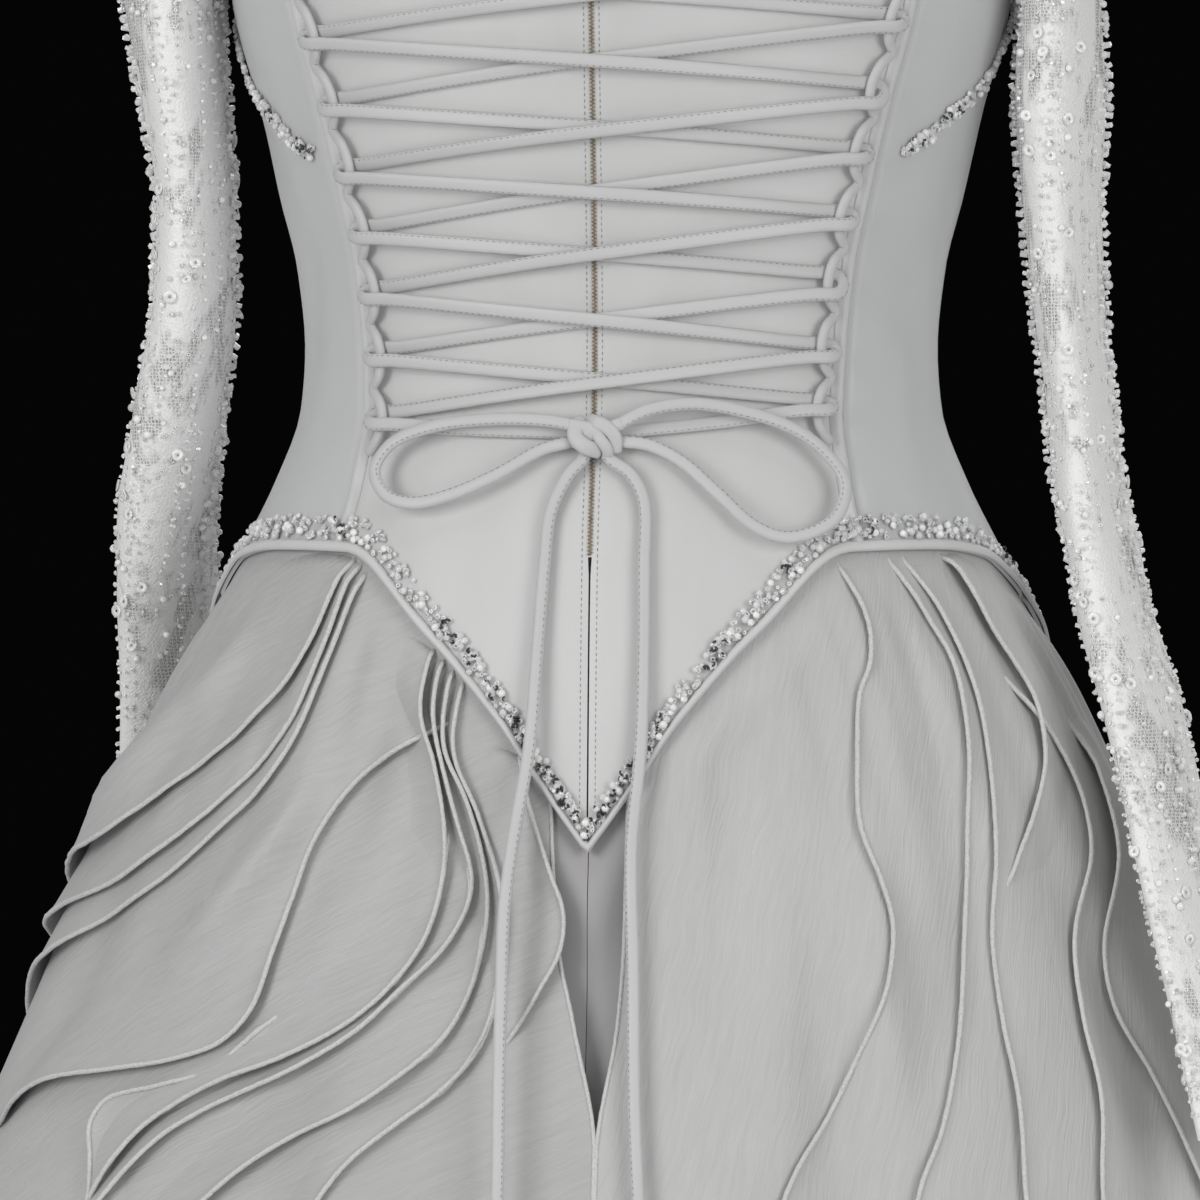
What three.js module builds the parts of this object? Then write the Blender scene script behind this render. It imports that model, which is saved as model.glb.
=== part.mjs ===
// A ball gown, filled out with no wearer: laced back, basque bodice, long empty sleeves and a full skirt.
// Millimetres, +Z up. The origin is the centre of the waist, the laced back faces -Y, +X is its right.
// Angles are degrees round the body: 0 at the centre back, 90 at the right side, 180 at the centre front.
import * as THREE from "three";
import { mergeVertices } from "three/addons/utils/BufferGeometryUtils.js";

// Driving sizes
const SEAM = 0.3;
const CLOTH = 1.5;
const THIN_CLOTH = 1.2;
const HEM_HEIGHT = -1090;
const BINDING_WIDTH = 3.6;
const BINDING_THICKNESS = 1.4;
const BEAD_BAND_WIDTH = 9.5;
const BEAD_BAND_THICKNESS = 1.6;
const TRIM_WIDTH = 7;
const BONING_WIDTH = 6.5;
const TEETH_HALF_WIDTH = 1.1;
const ZIP_TOP = 189;
const ZIP_BOTTOM = -79;
const LOOP_PITCH = 24.4;
const LOOP_COUNT = 9;
const LOOP_REACH = 5.6;
const LOOP_BOTTOM = { left: -40, right: -36 };
const LACE_WIDTH = 5;
const LACE_THICKNESS = 2;
const LACE_STEP = 16;
const CORD_DIAMETER = 4.4;
const FLOUNCE_THICKNESS = 1.1;
const GODETS = 12;
const GODET_DEPTH = 15;

// Half-sizes of the body and the skirt by height: across, out to the back and out to the front.
const figure = [
  { height: 215, across: 153, back: 97, front: 102 },
  { height: 190, across: 152, back: 98, front: 110 },
  { height: 165, across: 151.5, back: 99, front: 117 },
  { height: 133, across: 148.5, back: 100, front: 121 },
  { height: 92, across: 138, back: 96, front: 112 },
  { height: 57, across: 130, back: 92, front: 100 },
  { height: 31, across: 123.5, back: 89.5, front: 92 },
  { height: 0, across: 120.5, back: 88, front: 88 },
  { height: -22, across: 122, back: 90, front: 90 },
  { height: -49, across: 131.5, back: 97, front: 97 },
  { height: -76, across: 145, back: 104, front: 106 },
  { height: -99, across: 157, back: 107, front: 114 },
  { height: -133, across: 176, back: 110, front: 126 },
  { height: -190, across: 202, back: 114, front: 146 },
  { height: -228, across: 217, back: 121, front: 160 },
  { height: -323, across: 259, back: 146, front: 200 },
  { height: -600, across: 390, back: 290, front: 335 },
  { height: -850, across: 500, back: 425, front: 455 },
  { height: HEM_HEIGHT, across: 600, back: 560, front: 570 },
];

// Lower edge of the bodice, alike on both sides: a long V behind, a peak, and a V in front.
const basqueEdge = [
  { angle: 0, height: -190 },
  { angle: 4.3, height: -170 },
  { angle: 11.2, height: -140 },
  { angle: 22.3, height: -109 },
  { angle: 41, height: -77 },
  { angle: 60, height: -76 },
  { angle: 76, height: -79 },
  { angle: 84, height: -87 },
  { angle: 100, height: -108 },
  { angle: 140, height: -150 },
  { angle: 180, height: -190 },
];

// Upper edge of the bodice.
const topEdge = [
  { angle: 0, height: 190 },
  { angle: 67, height: 190 },
  { angle: 78, height: 176 },
  { angle: 90, height: 165 },
  { angle: 102, height: 176 },
  { angle: 113, height: 190 },
  { angle: 131, height: 190 },
  { angle: 150, height: 200 },
  { angle: 165, height: 196 },
  { angle: 180, height: 182 },
];

// Angle of the lacing edge by height.
const lacingEdge = [
  { height: 200, angle: 51.6 },
  { height: 133, angle: 50.6 },
  { height: 57, angle: 47.6 },
  { height: 0, angle: 46.3 },
  { height: -33, angle: 44 },
  { height: -77, angle: 41.5 },
  { height: -200, angle: 41.5 },
];

// Half of the gap that the two centre back panels leave between them.
const backGap = [
  { height: 200, half: 1.5 },
  { height: -110, half: 1.5 },
  { height: -118, half: 0.25 },
  { height: -150, half: 0.25 },
  { height: -190, half: 1.3 },
];

// Edges of the overskirt's slit, as distances to the right of the centre back.
const slit = [
  { height: -150, left: -15, right: 16 },
  { height: -174, left: -14, right: 15 },
  { height: -225, left: -10, right: 14.5 },
  { height: -252, left: -4, right: 13 },
  { height: -302, left: 5.6, right: 6.4 },
  { height: HEM_HEIGHT, left: 5.6, right: 6.4 },
];

// Beaded trim from the lacing strip to the underarm, up to the front neckline.
const upperTrim = [
  { angle: 55.5, height: 73 },
  { angle: 63, height: 80 },
  { angle: 71, height: 90 },
  { angle: 82, height: 101 },
  { angle: 93, height: 124 },
  { angle: 106, height: 155 },
  { angle: 112, height: 181 },
];

// Neck edge of the shoulder yoke by turn round the armhole, from the underarm (0) over the top (180).
const yokeNeck = [
  { turn: 22, across: 149.4, outward: 17.5, height: 175 },
  { turn: 45, across: 139.8, outward: 38.2, height: 191.2 },
  { turn: 62, across: 119.4, outward: 61.2, height: 191 },
  { turn: 80, across: 118.6, outward: 64, height: 232 },
  { turn: 100, across: 119, outward: 61, height: 280 },
  { turn: 125, across: 119, outward: 50, height: 328 },
  { turn: 150, across: 121, outward: 28, height: 360 },
  { turn: 180, across: 124, outward: 0, height: 371 },
];

// Sleeve sections from the armhole to the cuff: the edge next to the body, the outer edge, how far
// forward the section lies, its half-depth, how much its body side is drawn in, and its turn in plan.
const sleeveHead = [
  { innerX: 152.8, innerZ: 167, outerX: 182, outerZ: 360, forward: 0, deep: 54, drawn: 12, turn: 0 },
  { innerX: 155, innerZ: 163, outerX: 199, outerZ: 338, forward: 0, deep: 54, drawn: 7, turn: 0 },
  { innerX: 155.8, innerZ: 158, outerX: 207, outerZ: 300, forward: 0, deep: 52, drawn: 2, turn: 0 },
  { innerX: 155.8, innerZ: 152, outerX: 207, outerZ: 254, forward: 0, deep: 50, drawn: 0, turn: 0 },
  { innerX: 155.2, innerZ: 145, outerX: 202, outerZ: 206, forward: 0, deep: 47, drawn: 0, turn: 0 },
  { innerX: 154, innerZ: 138, outerX: 195, outerZ: 165, forward: 0, deep: 44, drawn: 0, turn: 0 },
];
const sleeveFall = {
  left: [
    { innerX: 152.6, innerZ: 128, outerX: 191, outerZ: 133, forward: 1, deep: 42, drawn: 0, turn: 0 },
    { innerX: 151.4, innerZ: 95, outerX: 185, outerZ: 95, forward: 3, deep: 40, drawn: 0, turn: 0 },
    { innerX: 149.6, innerZ: 57, outerX: 180, outerZ: 57, forward: 6, deep: 38, drawn: 0, turn: 0 },
    { innerX: 149.8, innerZ: 19, outerX: 182, outerZ: 19, forward: 11, deep: 37, drawn: 0, turn: 0 },
    { innerX: 154.8, innerZ: -19, outerX: 189, outerZ: -19, forward: 20, deep: 36, drawn: 0, turn: 4 },
    { innerX: 160, innerZ: -49, outerX: 193, outerZ: -49, forward: 31, deep: 35, drawn: 0, turn: 10 },
    { innerX: 165, innerZ: -80, outerX: 196, outerZ: -80, forward: 46, deep: 34, drawn: 0, turn: 18 },
    { innerX: 168, innerZ: -118, outerX: 196, outerZ: -118, forward: 70, deep: 32, drawn: 0, turn: 28 },
    { innerX: 171, innerZ: -160, outerX: 197, outerZ: -160, forward: 96, deep: 31, drawn: 0, turn: 36 },
    { innerX: 178, innerZ: -210, outerX: 202, outerZ: -210, forward: 118, deep: 30, drawn: 0, turn: 40 },
    { innerX: 190, innerZ: -255, outerX: 212, outerZ: -255, forward: 133, deep: 29, drawn: 0, turn: 42 },
    { innerX: 204, innerZ: -296, outerX: 225, outerZ: -296, forward: 143, deep: 29, drawn: 0, turn: 42 },
  ],
  right: [
    { innerX: 151.6, innerZ: 128, outerX: 183, outerZ: 133, forward: 0, deep: 42, drawn: 0, turn: 0 },
    { innerX: 149, innerZ: 95, outerX: 184.5, outerZ: 95, forward: 0, deep: 40, drawn: 0, turn: 0 },
    { innerX: 151.6, innerZ: 57, outerX: 183, outerZ: 57, forward: 0, deep: 38, drawn: 0, turn: 0 },
    { innerX: 155.8, innerZ: 19, outerX: 184.5, outerZ: 19, forward: -2, deep: 37, drawn: 0, turn: 0 },
    { innerX: 161.8, innerZ: -19, outerX: 188.5, outerZ: -19, forward: -6, deep: 36, drawn: 0, turn: -2 },
    { innerX: 168, innerZ: -57, outerX: 194, outerZ: -57, forward: -13, deep: 35, drawn: 0, turn: -6 },
    { innerX: 177, innerZ: -95, outerX: 202, outerZ: -95, forward: -26, deep: 33, drawn: 0, turn: -12 },
    { innerX: 190, innerZ: -133, outerX: 213, outerZ: -133, forward: -42, deep: 31, drawn: 0, turn: -18 },
    { innerX: 202, innerZ: -171, outerX: 221, outerZ: -171, forward: -56, deep: 30, drawn: 0, turn: -22 },
    { innerX: 212, innerZ: -209, outerX: 229, outerZ: -209, forward: -66, deep: 29, drawn: 0, turn: -24 },
    { innerX: 222, innerZ: -247, outerX: 239, outerZ: -247, forward: -76, deep: 28, drawn: 0, turn: -26 },
    { innerX: 234, innerZ: -296, outerX: 251, outerZ: -296, forward: -86, deep: 28, drawn: 0, turn: -28 },
  ],
};

// Heights where each half of the lace reaches a row's loop and leaves it, from the top down.
// side is the edge of the row: 1 on the right, -1 on the left.
const laceTurns = {
  over: [
    { side: 1, arrive: 149, leave: 143 },
    { side: -1, arrive: 119, leave: 114 },
    { side: 1, arrive: 99, leave: 91 },
    { side: -1, arrive: 69, leave: 63.5 },
    { side: 1, arrive: 51, leave: 45.6 },
    { side: -1, arrive: 23, leave: 18 },
    { side: 1, arrive: 1.5, leave: -4 },
    { side: -1, arrive: -24, leave: -29 },
  ],
  under: [
    { side: -1, arrive: 145, leave: 140 },
    { side: 1, arrive: 125, leave: 119.5 },
    { side: -1, arrive: 94, leave: 89 },
    { side: 1, arrive: 75, leave: 70 },
    { side: -1, arrive: 46, leave: 41 },
    { side: 1, arrive: 28, leave: 19.5 },
    { side: -1, arrive: 0, leave: -5 },
    { side: 1, arrive: -19.5, leave: -24 },
  ],
};
const LACE_TOP = 152;

// The bow: its knot, and the routes of its two loops and two tails, as distances to the right of the
// centre back, heights, and distances off the cloth.
const knot = { x: 1.5, z: -33, width: 15.2, height: 9.5, depth: 9.2 };
const bowRoutes = {
  bow_loop_left: [
    [-6.7, -29.6, 8.2], [-16, -28, 8.4], [-35, -27.4, 8.6], [-59, -30.4, 9.4], [-73, -37, 10.5],
    [-78, -46.4, 11], [-74, -55.5, 10.5], [-65, -58.7, 9.5], [-53, -56.4, 8.2], [-35, -48.6, 7],
    [-18, -38.8, 5.8], [-6.7, -35.6, 5.3],
  ],
  bow_loop_right: [
    [9.7, -29.6, 8.2], [19, -24.5, 8.4], [35, -21.7, 8.8], [52, -24.3, 9.6], [69, -30.5, 10.4],
    [80, -39.1, 11], [87.5, -50.5, 11], [86.5, -62.7, 10.5], [80, -69, 9.8], [69, -71.6, 9],
    [58.7, -67.3, 8], [45, -54.5, 7], [33, -43.6, 6.2], [21, -37.2, 5.6], [9.7, -35.6, 5.3],
  ],
  bow_tail_left: [
    [-1.8, -39.2, 4.4], [-3.2, -42.4, 4.2], [-8.4, -48.5, 4], [-14.3, -61.6, 3.6],
    [-16.3, -81.3, 3.6], [-18.5, -115, 4.6],
    [-20.7, -151, 8], [-24.8, -182, 14], [-27.6, -209, 16], [-28, -241, 16.5], [-28, -273, 16.5],
    [-27.4, -310, 16], [-27, -350, 15],
  ],
  bow_tail_right: [
    [5, -39.2, 4.4], [6.6, -42.2, 4.2], [14.5, -48, 4], [19.6, -57.8, 3.6], [20.4, -81.3, 3.6],
    [20.7, -116, 4],
    [20, -151, 5.4], [17, -188, 6.4], [18.4, -230, 6], [20.4, -284, 6.4], [23, -318, 7],
    [26, -352, 7.4],
  ],
};

// Flounces: each row is one curved strip of cloth with a rolled hem. Its hem runs from, leaves, arrives
// and ends at [angle, height]; spread takes the hem to the sewn edge; base and lift are its distances
// off the overskirt at the sewn edge and, added, at the hem. A hemAngle carries it on to the skirt's hem.
const flounces = [
  { name: "flounce_left_1", from: [-39.5, -84], leave: [-40, -190], arrive: [-90, -200], to: [-140, -262],
    spread: [-16, 36], base: 2.6, lift: 12.5 },
  { name: "flounce_left_2", from: [-39, -146], leave: [-44, -180], arrive: [-86, -216], to: [-132, -296],
    spread: [-12, 30], base: 2.6, lift: 9.5 },
  { name: "flounce_left_3", from: [-41, -162], leave: [-48, -204], arrive: [-84, -238], to: [-126, -326],
    spread: [-10, 26], base: 2.6, lift: 7 },
  { name: "flounce_left_4", from: [-27, -150], leave: [-40, -236], arrive: [-24, -268], to: [-84, -300],
    spread: [-9, 22], base: 3.6, lift: 6.4 },
  { name: "flounce_left_5", from: [-33, -262], leave: [-38, -286], arrive: [-62, -276], to: [-47, -345],
    spread: [8, -22], base: 3.7, lift: 4.6 },
  { name: "flounce_left_6", from: [-15.2, -205], leave: [-17, -262], arrive: [-44, -268], to: [-48, -330],
    spread: [-4.5, 9], base: 10.7, lift: 4.6 },
  { name: "flounce_left_7", from: [-13.4, -226], leave: [-15.5, -276], arrive: [-45, -286], to: [-52, -372],
    spread: [-4, 8], base: 10.4, lift: 3.6 },
  { name: "flounce_left_8", from: [-11.4, -252], leave: [-15, -290], arrive: [-29, -296], to: [-42, -352],
    spread: [-3.6, 8], base: 9.6, lift: 3 },
  { name: "flounce_left_9", from: [-9.2, -274], leave: [-14, -300], arrive: [-21, -325], to: [-30, -420],
    spread: [-3.6, 8], base: 4, lift: 6, hemAngle: -36 },
  { name: "fold_bundle_1", from: [-21.6, -119], leave: [-17.5, -160], arrive: [-13.4, -204],
    to: [-17.4, -228], spread: [-2.4, 5], base: 2.6, lift: 4.6 },
  { name: "fold_bundle_2", from: [-18.6, -126], leave: [-15, -170], arrive: [-9.8, -214],
    to: [-15.6, -243], spread: [-1.7, 3], base: 2.6, lift: 4.6 },
  { name: "fold_bundle_3", from: [-16, -132], leave: [-11.6, -178], arrive: [-8.4, -236],
    to: [-14.2, -268], spread: [-1.5, 3], base: 2.4, lift: 4.8 },
  { name: "fold_bundle_4", from: [-13.4, -139], leave: [-9, -184], arrive: [-5.6, -262],
    to: [-12, -300], spread: [-1.5, 3], base: 2.4, lift: 4.8 },
  { name: "fold_bundle_5", from: [-7.6, -172], leave: [-1.2, -196], arrive: [-0.6, -230],
    to: [-6.4, -266], spread: [-2.2, 4], base: 2.6, lift: 4 },
  { name: "flounce_right_1", from: [38, -85], leave: [36, -170], arrive: [34, -250], to: [16, -335],
    spread: [9, 10], base: 3.2, lift: 5, hemAngle: 12 },
  { name: "flounce_right_2", from: [48.5, -82], leave: [56, -150], arrive: [38, -250], to: [28, -330],
    spread: [9, 10], base: 3.2, lift: 7.5, hemAngle: 24 },
  { name: "flounce_right_3", from: [52.6, -82], leave: [57, -170], arrive: [40, -240], to: [39, -330],
    spread: [10, 10], base: 3, lift: 10.6, hemAngle: 40 },
  { name: "flounce_right_4", from: [61.5, -82], leave: [68, -140], arrive: [66, -150], to: [48.5, -206],
    spread: [8, 9], base: 9.9, lift: 7.4 },
  { name: "flounce_right_5", from: [66.5, -110], leave: [70, -190], arrive: [50, -230], to: [47.5, -330],
    spread: [10, 10], base: 3, lift: 17, hemAngle: 58 },
  { name: "flounce_right_6", from: [74, -150], leave: [66, -210], arrive: [62, -260], to: [62, -330],
    spread: [10, 12], base: 2.4, lift: 13.6, hemAngle: 74 },
  { name: "flounce_front_1", from: [112, -130], leave: [118, -230], arrive: [104, -330], to: [112, -460],
    spread: [-10, 8], base: 2.2, lift: 8, hemAngle: 104 },
  { name: "flounce_front_2", from: [136, -156], leave: [142, -250], arrive: [128, -350], to: [134, -470],
    spread: [-10, 8], base: 2.2, lift: 8, hemAngle: 128 },
  { name: "flounce_front_3", from: [166, -188], leave: [168, -270], arrive: [156, -360], to: [160, -480],
    spread: [-10, 8], base: 2.2, lift: 8, hemAngle: 156 },
  { name: "flounce_front_4", from: [-166, -188], leave: [-170, -260], arrive: [-160, -380],
    to: [-164, -480], spread: [10, 8], base: 2.2, lift: 8, hemAngle: -160 },
];

// Colours
const satin = { color: 0xc8c9c9, roughness: 0.55, metalness: 0 };
const sidePanelSatin = { color: 0xb7b9bb, roughness: 0.55, metalness: 0 };
const lacingCord = { color: 0xc3c4c4, roughness: 0.6, metalness: 0 };
const organza = { color: 0xbcbcbb, roughness: 0.5, metalness: 0 };
const liningCloth = { color: 0x969496, roughness: 0.7, metalness: 0 };
const beadedNet = { color: 0xdadad8, roughness: 0.45, metalness: 0 };
const beads = { color: 0xe0dfdb, roughness: 0.25, metalness: 0 };
const zipTape = { color: 0xcfc7b4, roughness: 0.5, metalness: 0 };
const zipMetal = { color: 0xa8a49c, roughness: 0.35, metalness: 0.8 };

const gown = new THREE.Group();
const radians = Math.PI / 180;

function addPiece(name, geometry, finish) {
  const piece = new THREE.Mesh(geometry, new THREE.MeshStandardMaterial(finish));
  piece.name = name;
  gown.add(piece);
  return piece;
}

// A smooth curve through a table's rows: the value of column at a given key, with no overshoot.
function readTable(rows, key, column) {
  const order = [...rows].sort((first, second) => first[key] - second[key]);
  const at = order.map((row) => row[key]);
  const value = order.map((row) => row[column]);
  const rise = at.slice(1).map((next, i) => (value[i + 1] - value[i]) / (next - at[i]));
  const slope = at.map((_, i) => {
    if (i === 0 || i === at.length - 1) return rise[Math.min(i, rise.length - 1)];
    const both = rise[i - 1] * rise[i];
    return both <= 0 ? 0 : (2 * both) / (rise[i - 1] + rise[i]);
  });
  return (where) => {
    const inside = Math.min(Math.max(where, at[0]), at[at.length - 1]);
    let i = 0;
    while (i < at.length - 2 && inside > at[i + 1]) i += 1;
    const span = at[i + 1] - at[i];
    const t = (inside - at[i]) / span;
    const before = value[i] * (1 + 2 * t) * (1 - t) ** 2 + slope[i] * span * t * (1 - t) ** 2;
    const after = value[i + 1] * t * t * (3 - 2 * t) + slope[i + 1] * span * t * t * (t - 1);
    return before + after;
  };
}

const halfAcross = readTable(figure, "height", "across");
const halfBack = readTable(figure, "height", "back");
const halfFront = readTable(figure, "height", "front");
const basqueHeight = readTable(basqueEdge, "angle", "height");
const topHeight = readTable(topEdge, "angle", "height");
const lacingAngle = readTable(lacingEdge, "height", "angle");
const halfGap = readTable(backGap, "height", "half");
const slitLeft = readTable(slit, "height", "left");
const slitRight = readTable(slit, "height", "right");

// The angle measured from the centre back without its sign, from 0 to 180.
function turnFromBack(angle) {
  return Math.abs(((angle + 180) % 360 + 360) % 360 - 180);
}

// A point of the gown's surface, moved out from it.
function bodyPoint(angle, height, out = 0) {
  const sine = Math.sin(angle * radians);
  const cosine = Math.cos(angle * radians);
  const depth = cosine >= 0 ? halfBack(height) : halfFront(height);
  const across = halfAcross(height);
  const level = new THREE.Vector2(sine / across, -cosine / depth).normalize().multiplyScalar(out);
  return new THREE.Vector3(across * sine + level.x, -depth * cosine + level.y, height);
}

// The angle that lies a distance in millimetres from the centre back, at a height.
function angleAt(distance, height) {
  return Math.asin(distance / halfAcross(height)) / radians;
}

// Millimetres along the surface for one degree.
function degreeLength(angle, height) {
  return bodyPoint(angle, height).distanceTo(bodyPoint(angle + 1, height));
}

// A closed solid from triangles over a list of points, turned so that its faces point out.
function solidFrom(points, triangles) {
  let volume = 0;
  const normal = new THREE.Vector3();
  for (const [a, b, c] of triangles) volume += points[a].dot(normal.crossVectors(points[b], points[c]));
  const index = triangles.flatMap(([a, b, c]) => (volume > 0 ? [a, b, c] : [a, c, b]));
  const geometry = new THREE.BufferGeometry().setFromPoints(points);
  geometry.setIndex(index);
  return geometry;
}

// A wall of cloth: point(u, v, out) gives its outer face, columns run along u and rows along v.
// A ring wall joins its last column to its first.
function wall({ point, columns, rows, thickness, ring = false }) {
  const across = ring ? columns : columns + 1;
  const points = [];
  for (const out of [0, -thickness]) {
    for (let row = 0; row <= rows; row += 1) {
      for (let column = 0; column < across; column += 1) {
        points.push(point(column / columns, row / rows, out));
      }
    }
  }
  const layer = across * (rows + 1);
  const at = (column, row, inner) => inner * layer + row * across + (column % across);
  const triangles = [];
  const face = (a, b, c, d) => triangles.push([a, b, c], [a, c, d]);
  for (let row = 0; row < rows; row += 1) {
    for (let column = 0; column < columns; column += 1) {
      const next = column + 1;
      face(at(column, row, 0), at(next, row, 0), at(next, row + 1, 0), at(column, row + 1, 0));
      face(at(column, row, 1), at(column, row + 1, 1), at(next, row + 1, 1), at(next, row, 1));
    }
  }
  for (let column = 0; column < columns; column += 1) {
    const next = column + 1;
    face(at(column, 0, 1), at(next, 0, 1), at(next, 0, 0), at(column, 0, 0));
    face(at(column, rows, 0), at(next, rows, 0), at(next, rows, 1), at(column, rows, 1));
  }
  for (let row = 0; row < rows && !ring; row += 1) {
    face(at(0, row, 0), at(0, row + 1, 0), at(0, row + 1, 1), at(0, row, 1));
    face(at(columns, row, 1), at(columns, row + 1, 1), at(columns, row + 1, 0), at(columns, row, 0));
  }
  return solidFrom(points, triangles);
}

// A bodice panel between two angles that may change with height.
function bodicePanel(startAngle, endAngle, columns, rows) {
  const point = (u, v, out) => {
    let height = 0;
    let angle = startAngle(0) + (endAngle(0) - startAngle(0)) * u;
    for (let step = 0; step < 6; step += 1) {
      const low = basqueHeight(turnFromBack(angle)) + 0.5;
      const high = topHeight(turnFromBack(angle));
      height = low + (high - low) * v;
      angle = startAngle(height) + (endAngle(height) - startAngle(height)) * u;
    }
    return bodyPoint(angle, height, out);
  };
  return wall({ point, columns, rows, thickness: CLOTH });
}

const seamAngle = (height) => SEAM / degreeLength(60, height);
const boningAngle = (height) => BONING_WIDTH / degreeLength(50, height);

function addBodice() {
  for (const [side, sign] of [["left", -1], ["right", 1]]) {
    const centre = (height) => sign * angleAt(halfGap(height), height);
    const lacing = (height) => sign * lacingAngle(height);
    const boningIn = (height) => sign * (lacingAngle(height) + seamAngle(height));
    const boningOut = (height) => sign * (lacingAngle(height) + boningAngle(height));
    const sideBackIn = (height) => sign * (lacingAngle(height) + boningAngle(height) + seamAngle(height));
    const sideBackOut = (height) => sign * (90 - seamAngle(height) / 2);
    const sideFrontIn = (height) => sign * (90 + seamAngle(height) / 2);
    const sideFrontOut = (height) => sign * (140 - seamAngle(height) / 2);
    addPiece(`bodice_centre_back_${side}`, bodicePanel(centre, lacing, 7, 15), satin);
    addPiece(`lacing_strip_${side}`, bodicePanel(boningIn, boningOut, 1, 8), satin);
    addPiece(`bodice_side_back_${side}`, bodicePanel(sideBackIn, sideBackOut, 6, 8), sidePanelSatin);
    addPiece(`bodice_side_front_${side}`, bodicePanel(sideFrontIn, sideFrontOut, 6, 8), sidePanelSatin);
  }
  const frontStart = (height) => 140 + seamAngle(height) / 2;
  const frontEnd = (height) => 220 - seamAngle(height) / 2;
  addPiece("bodice_centre_front", bodicePanel(frontStart, frontEnd, 9, 8), satin);
}

// Bands that follow the basque edge all the way round.
function addBasqueTrim() {
  const columns = 52;
  const place = (u) => {
    const edge = (u + 0.5 / columns) * 360 - 180;
    return Math.sign(edge) * 180 * (Math.abs(edge) / 180) ** 1.15;
  };
  const binding = (u, v, out) => {
    const angle = place(u);
    const lift = BINDING_THICKNESS + 0.55;
    return bodyPoint(angle, basqueHeight(turnFromBack(angle)) + BINDING_WIDTH * v, lift + out);
  };
  addPiece(
    "basque_binding",
    wall({ point: binding, columns, rows: 1, thickness: BINDING_THICKNESS, ring: true }),
    satin,
  );
  const band = (u, v, out) => {
    const angle = place(u);
    const low = basqueHeight(turnFromBack(angle)) + BINDING_WIDTH + 0.6;
    const lift = BEAD_BAND_THICKNESS + 0.6;
    return bodyPoint(angle, low + BEAD_BAND_WIDTH * v, lift + out);
  };
  addPiece(
    "basque_bead_band",
    wall({ point: band, columns, rows: 1, thickness: BEAD_BAND_THICKNESS, ring: true }),
    beads,
  );
}

function addUpperTrims() {
  const keyed = upperTrim.map((row, i) => ({ ...row, part: i / (upperTrim.length - 1) }));
  const along = readTable(keyed, "part", "angle");
  const up = readTable(keyed, "part", "height");
  for (const [side, sign] of [["left", -1], ["right", 1]]) {
    const point = (u, v, out) => {
      const slopeAngle = along(Math.min(u + 0.01, 1)) - along(Math.max(u - 0.01, 0));
      const slopeHeight = up(Math.min(u + 0.01, 1)) - up(Math.max(u - 0.01, 0));
      const scale = degreeLength(along(u), up(u));
      const heading = new THREE.Vector2(slopeAngle * scale, slopeHeight).normalize();
      const shift = TRIM_WIDTH * (v - 0.5);
      const angle = along(u) - (heading.y * shift) / scale;
      const height = up(u) + heading.x * shift;
      return bodyPoint(sign * angle, height, SEAM + BEAD_BAND_THICKNESS + 0.5 + out);
    };
    addPiece(
      `upper_bead_trim_${side}`,
      wall({ point, columns: 14, rows: 1, thickness: BEAD_BAND_THICKNESS }),
      beads,
    );
  }
}

// A point of a sleeve section: turn 0 is next to the body, 180 the outer edge, 90 the back.
function sleevePoint(row, turn, out) {
  const middleX = (row.innerX + row.outerX) / 2;
  const middleZ = (row.innerZ + row.outerZ) / 2;
  const centre = new THREE.Vector3(middleX, row.forward, middleZ);
  const reach = new THREE.Vector3((row.innerX - row.outerX) / 2, 0, (row.innerZ - row.outerZ) / 2);
  const flat = reach.clone().setLength(reach.length() + out);
  const cosine = Math.cos(turn * radians);
  const sine = Math.sin(turn * radians);
  const back = new THREE.Vector3(0, -1, 0).multiplyScalar((row.deep + out) * sine);
  const local = flat.multiplyScalar(cosine).add(back);
  local.x -= row.drawn * sine * sine;
  local.applyAxisAngle(new THREE.Vector3(0, 0, 1), row.turn * radians);
  return centre.add(local);
}

function addSleeves() {
  const steps = 12;
  for (const [side, sign] of [["left", -1], ["right", 1]]) {
    const rows = [...sleeveHead, ...sleeveFall[side]];
    const point = (u, v, out) => {
      const place = sleevePoint(rows[Math.round(v * (rows.length - 1))], u * 360, out);
      place.x *= sign;
      return place;
    };
    addPiece(
      `sleeve_${side}`,
      wall({ point, columns: steps, rows: rows.length - 1, thickness: THIN_CLOTH, ring: true }),
      beadedNet,
    );
  }
}

// The yoke spans from the armhole to the neck edge, from the back over the shoulder to the front.
function addYokes() {
  const column = (name) => readTable(yokeNeck, "turn", name);
  const neck = { across: column("across"), outward: column("outward"), height: column("height") };
  const firstTurn = yokeNeck[0].turn;
  const armhole = sleeveHead[0];
  const fullerFront = halfFront(ZIP_TOP + 1) / halfBack(ZIP_TOP + 1);
  for (const [side, sign] of [["left", -1], ["right", 1]]) {
    const point = (u, v, out) => {
      const turn = firstTurn + (360 - 2 * firstTurn) * u;
      const half = Math.min(turn, 360 - turn);
      const towardBack = turn < 180 ? -1 : 1;
      const fuller = turn < 180 ? 1 : fullerFront;
      const outer = sleevePoint(armhole, turn, 0);
      outer.x -= 1.9 - 0.9 * Math.abs(Math.cos(half * radians));
      const outward = towardBack * neck.outward(half) * fuller;
      const inner = new THREE.Vector3(neck.across(half), outward, neck.height(half));
      const place = inner.lerp(outer, v);
      const rise = 0.2 - Math.cos(half * radians);
      const away = new THREE.Vector3(0.25, towardBack * Math.sin(half * radians), rise);
      place.addScaledVector(away.normalize(), out);
      place.x *= sign;
      return place;
    };
    addPiece(`shoulder_yoke_${side}`, wall({ point, columns: 18, rows: 1, thickness: CLOTH }), satin);
  }
}

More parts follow.
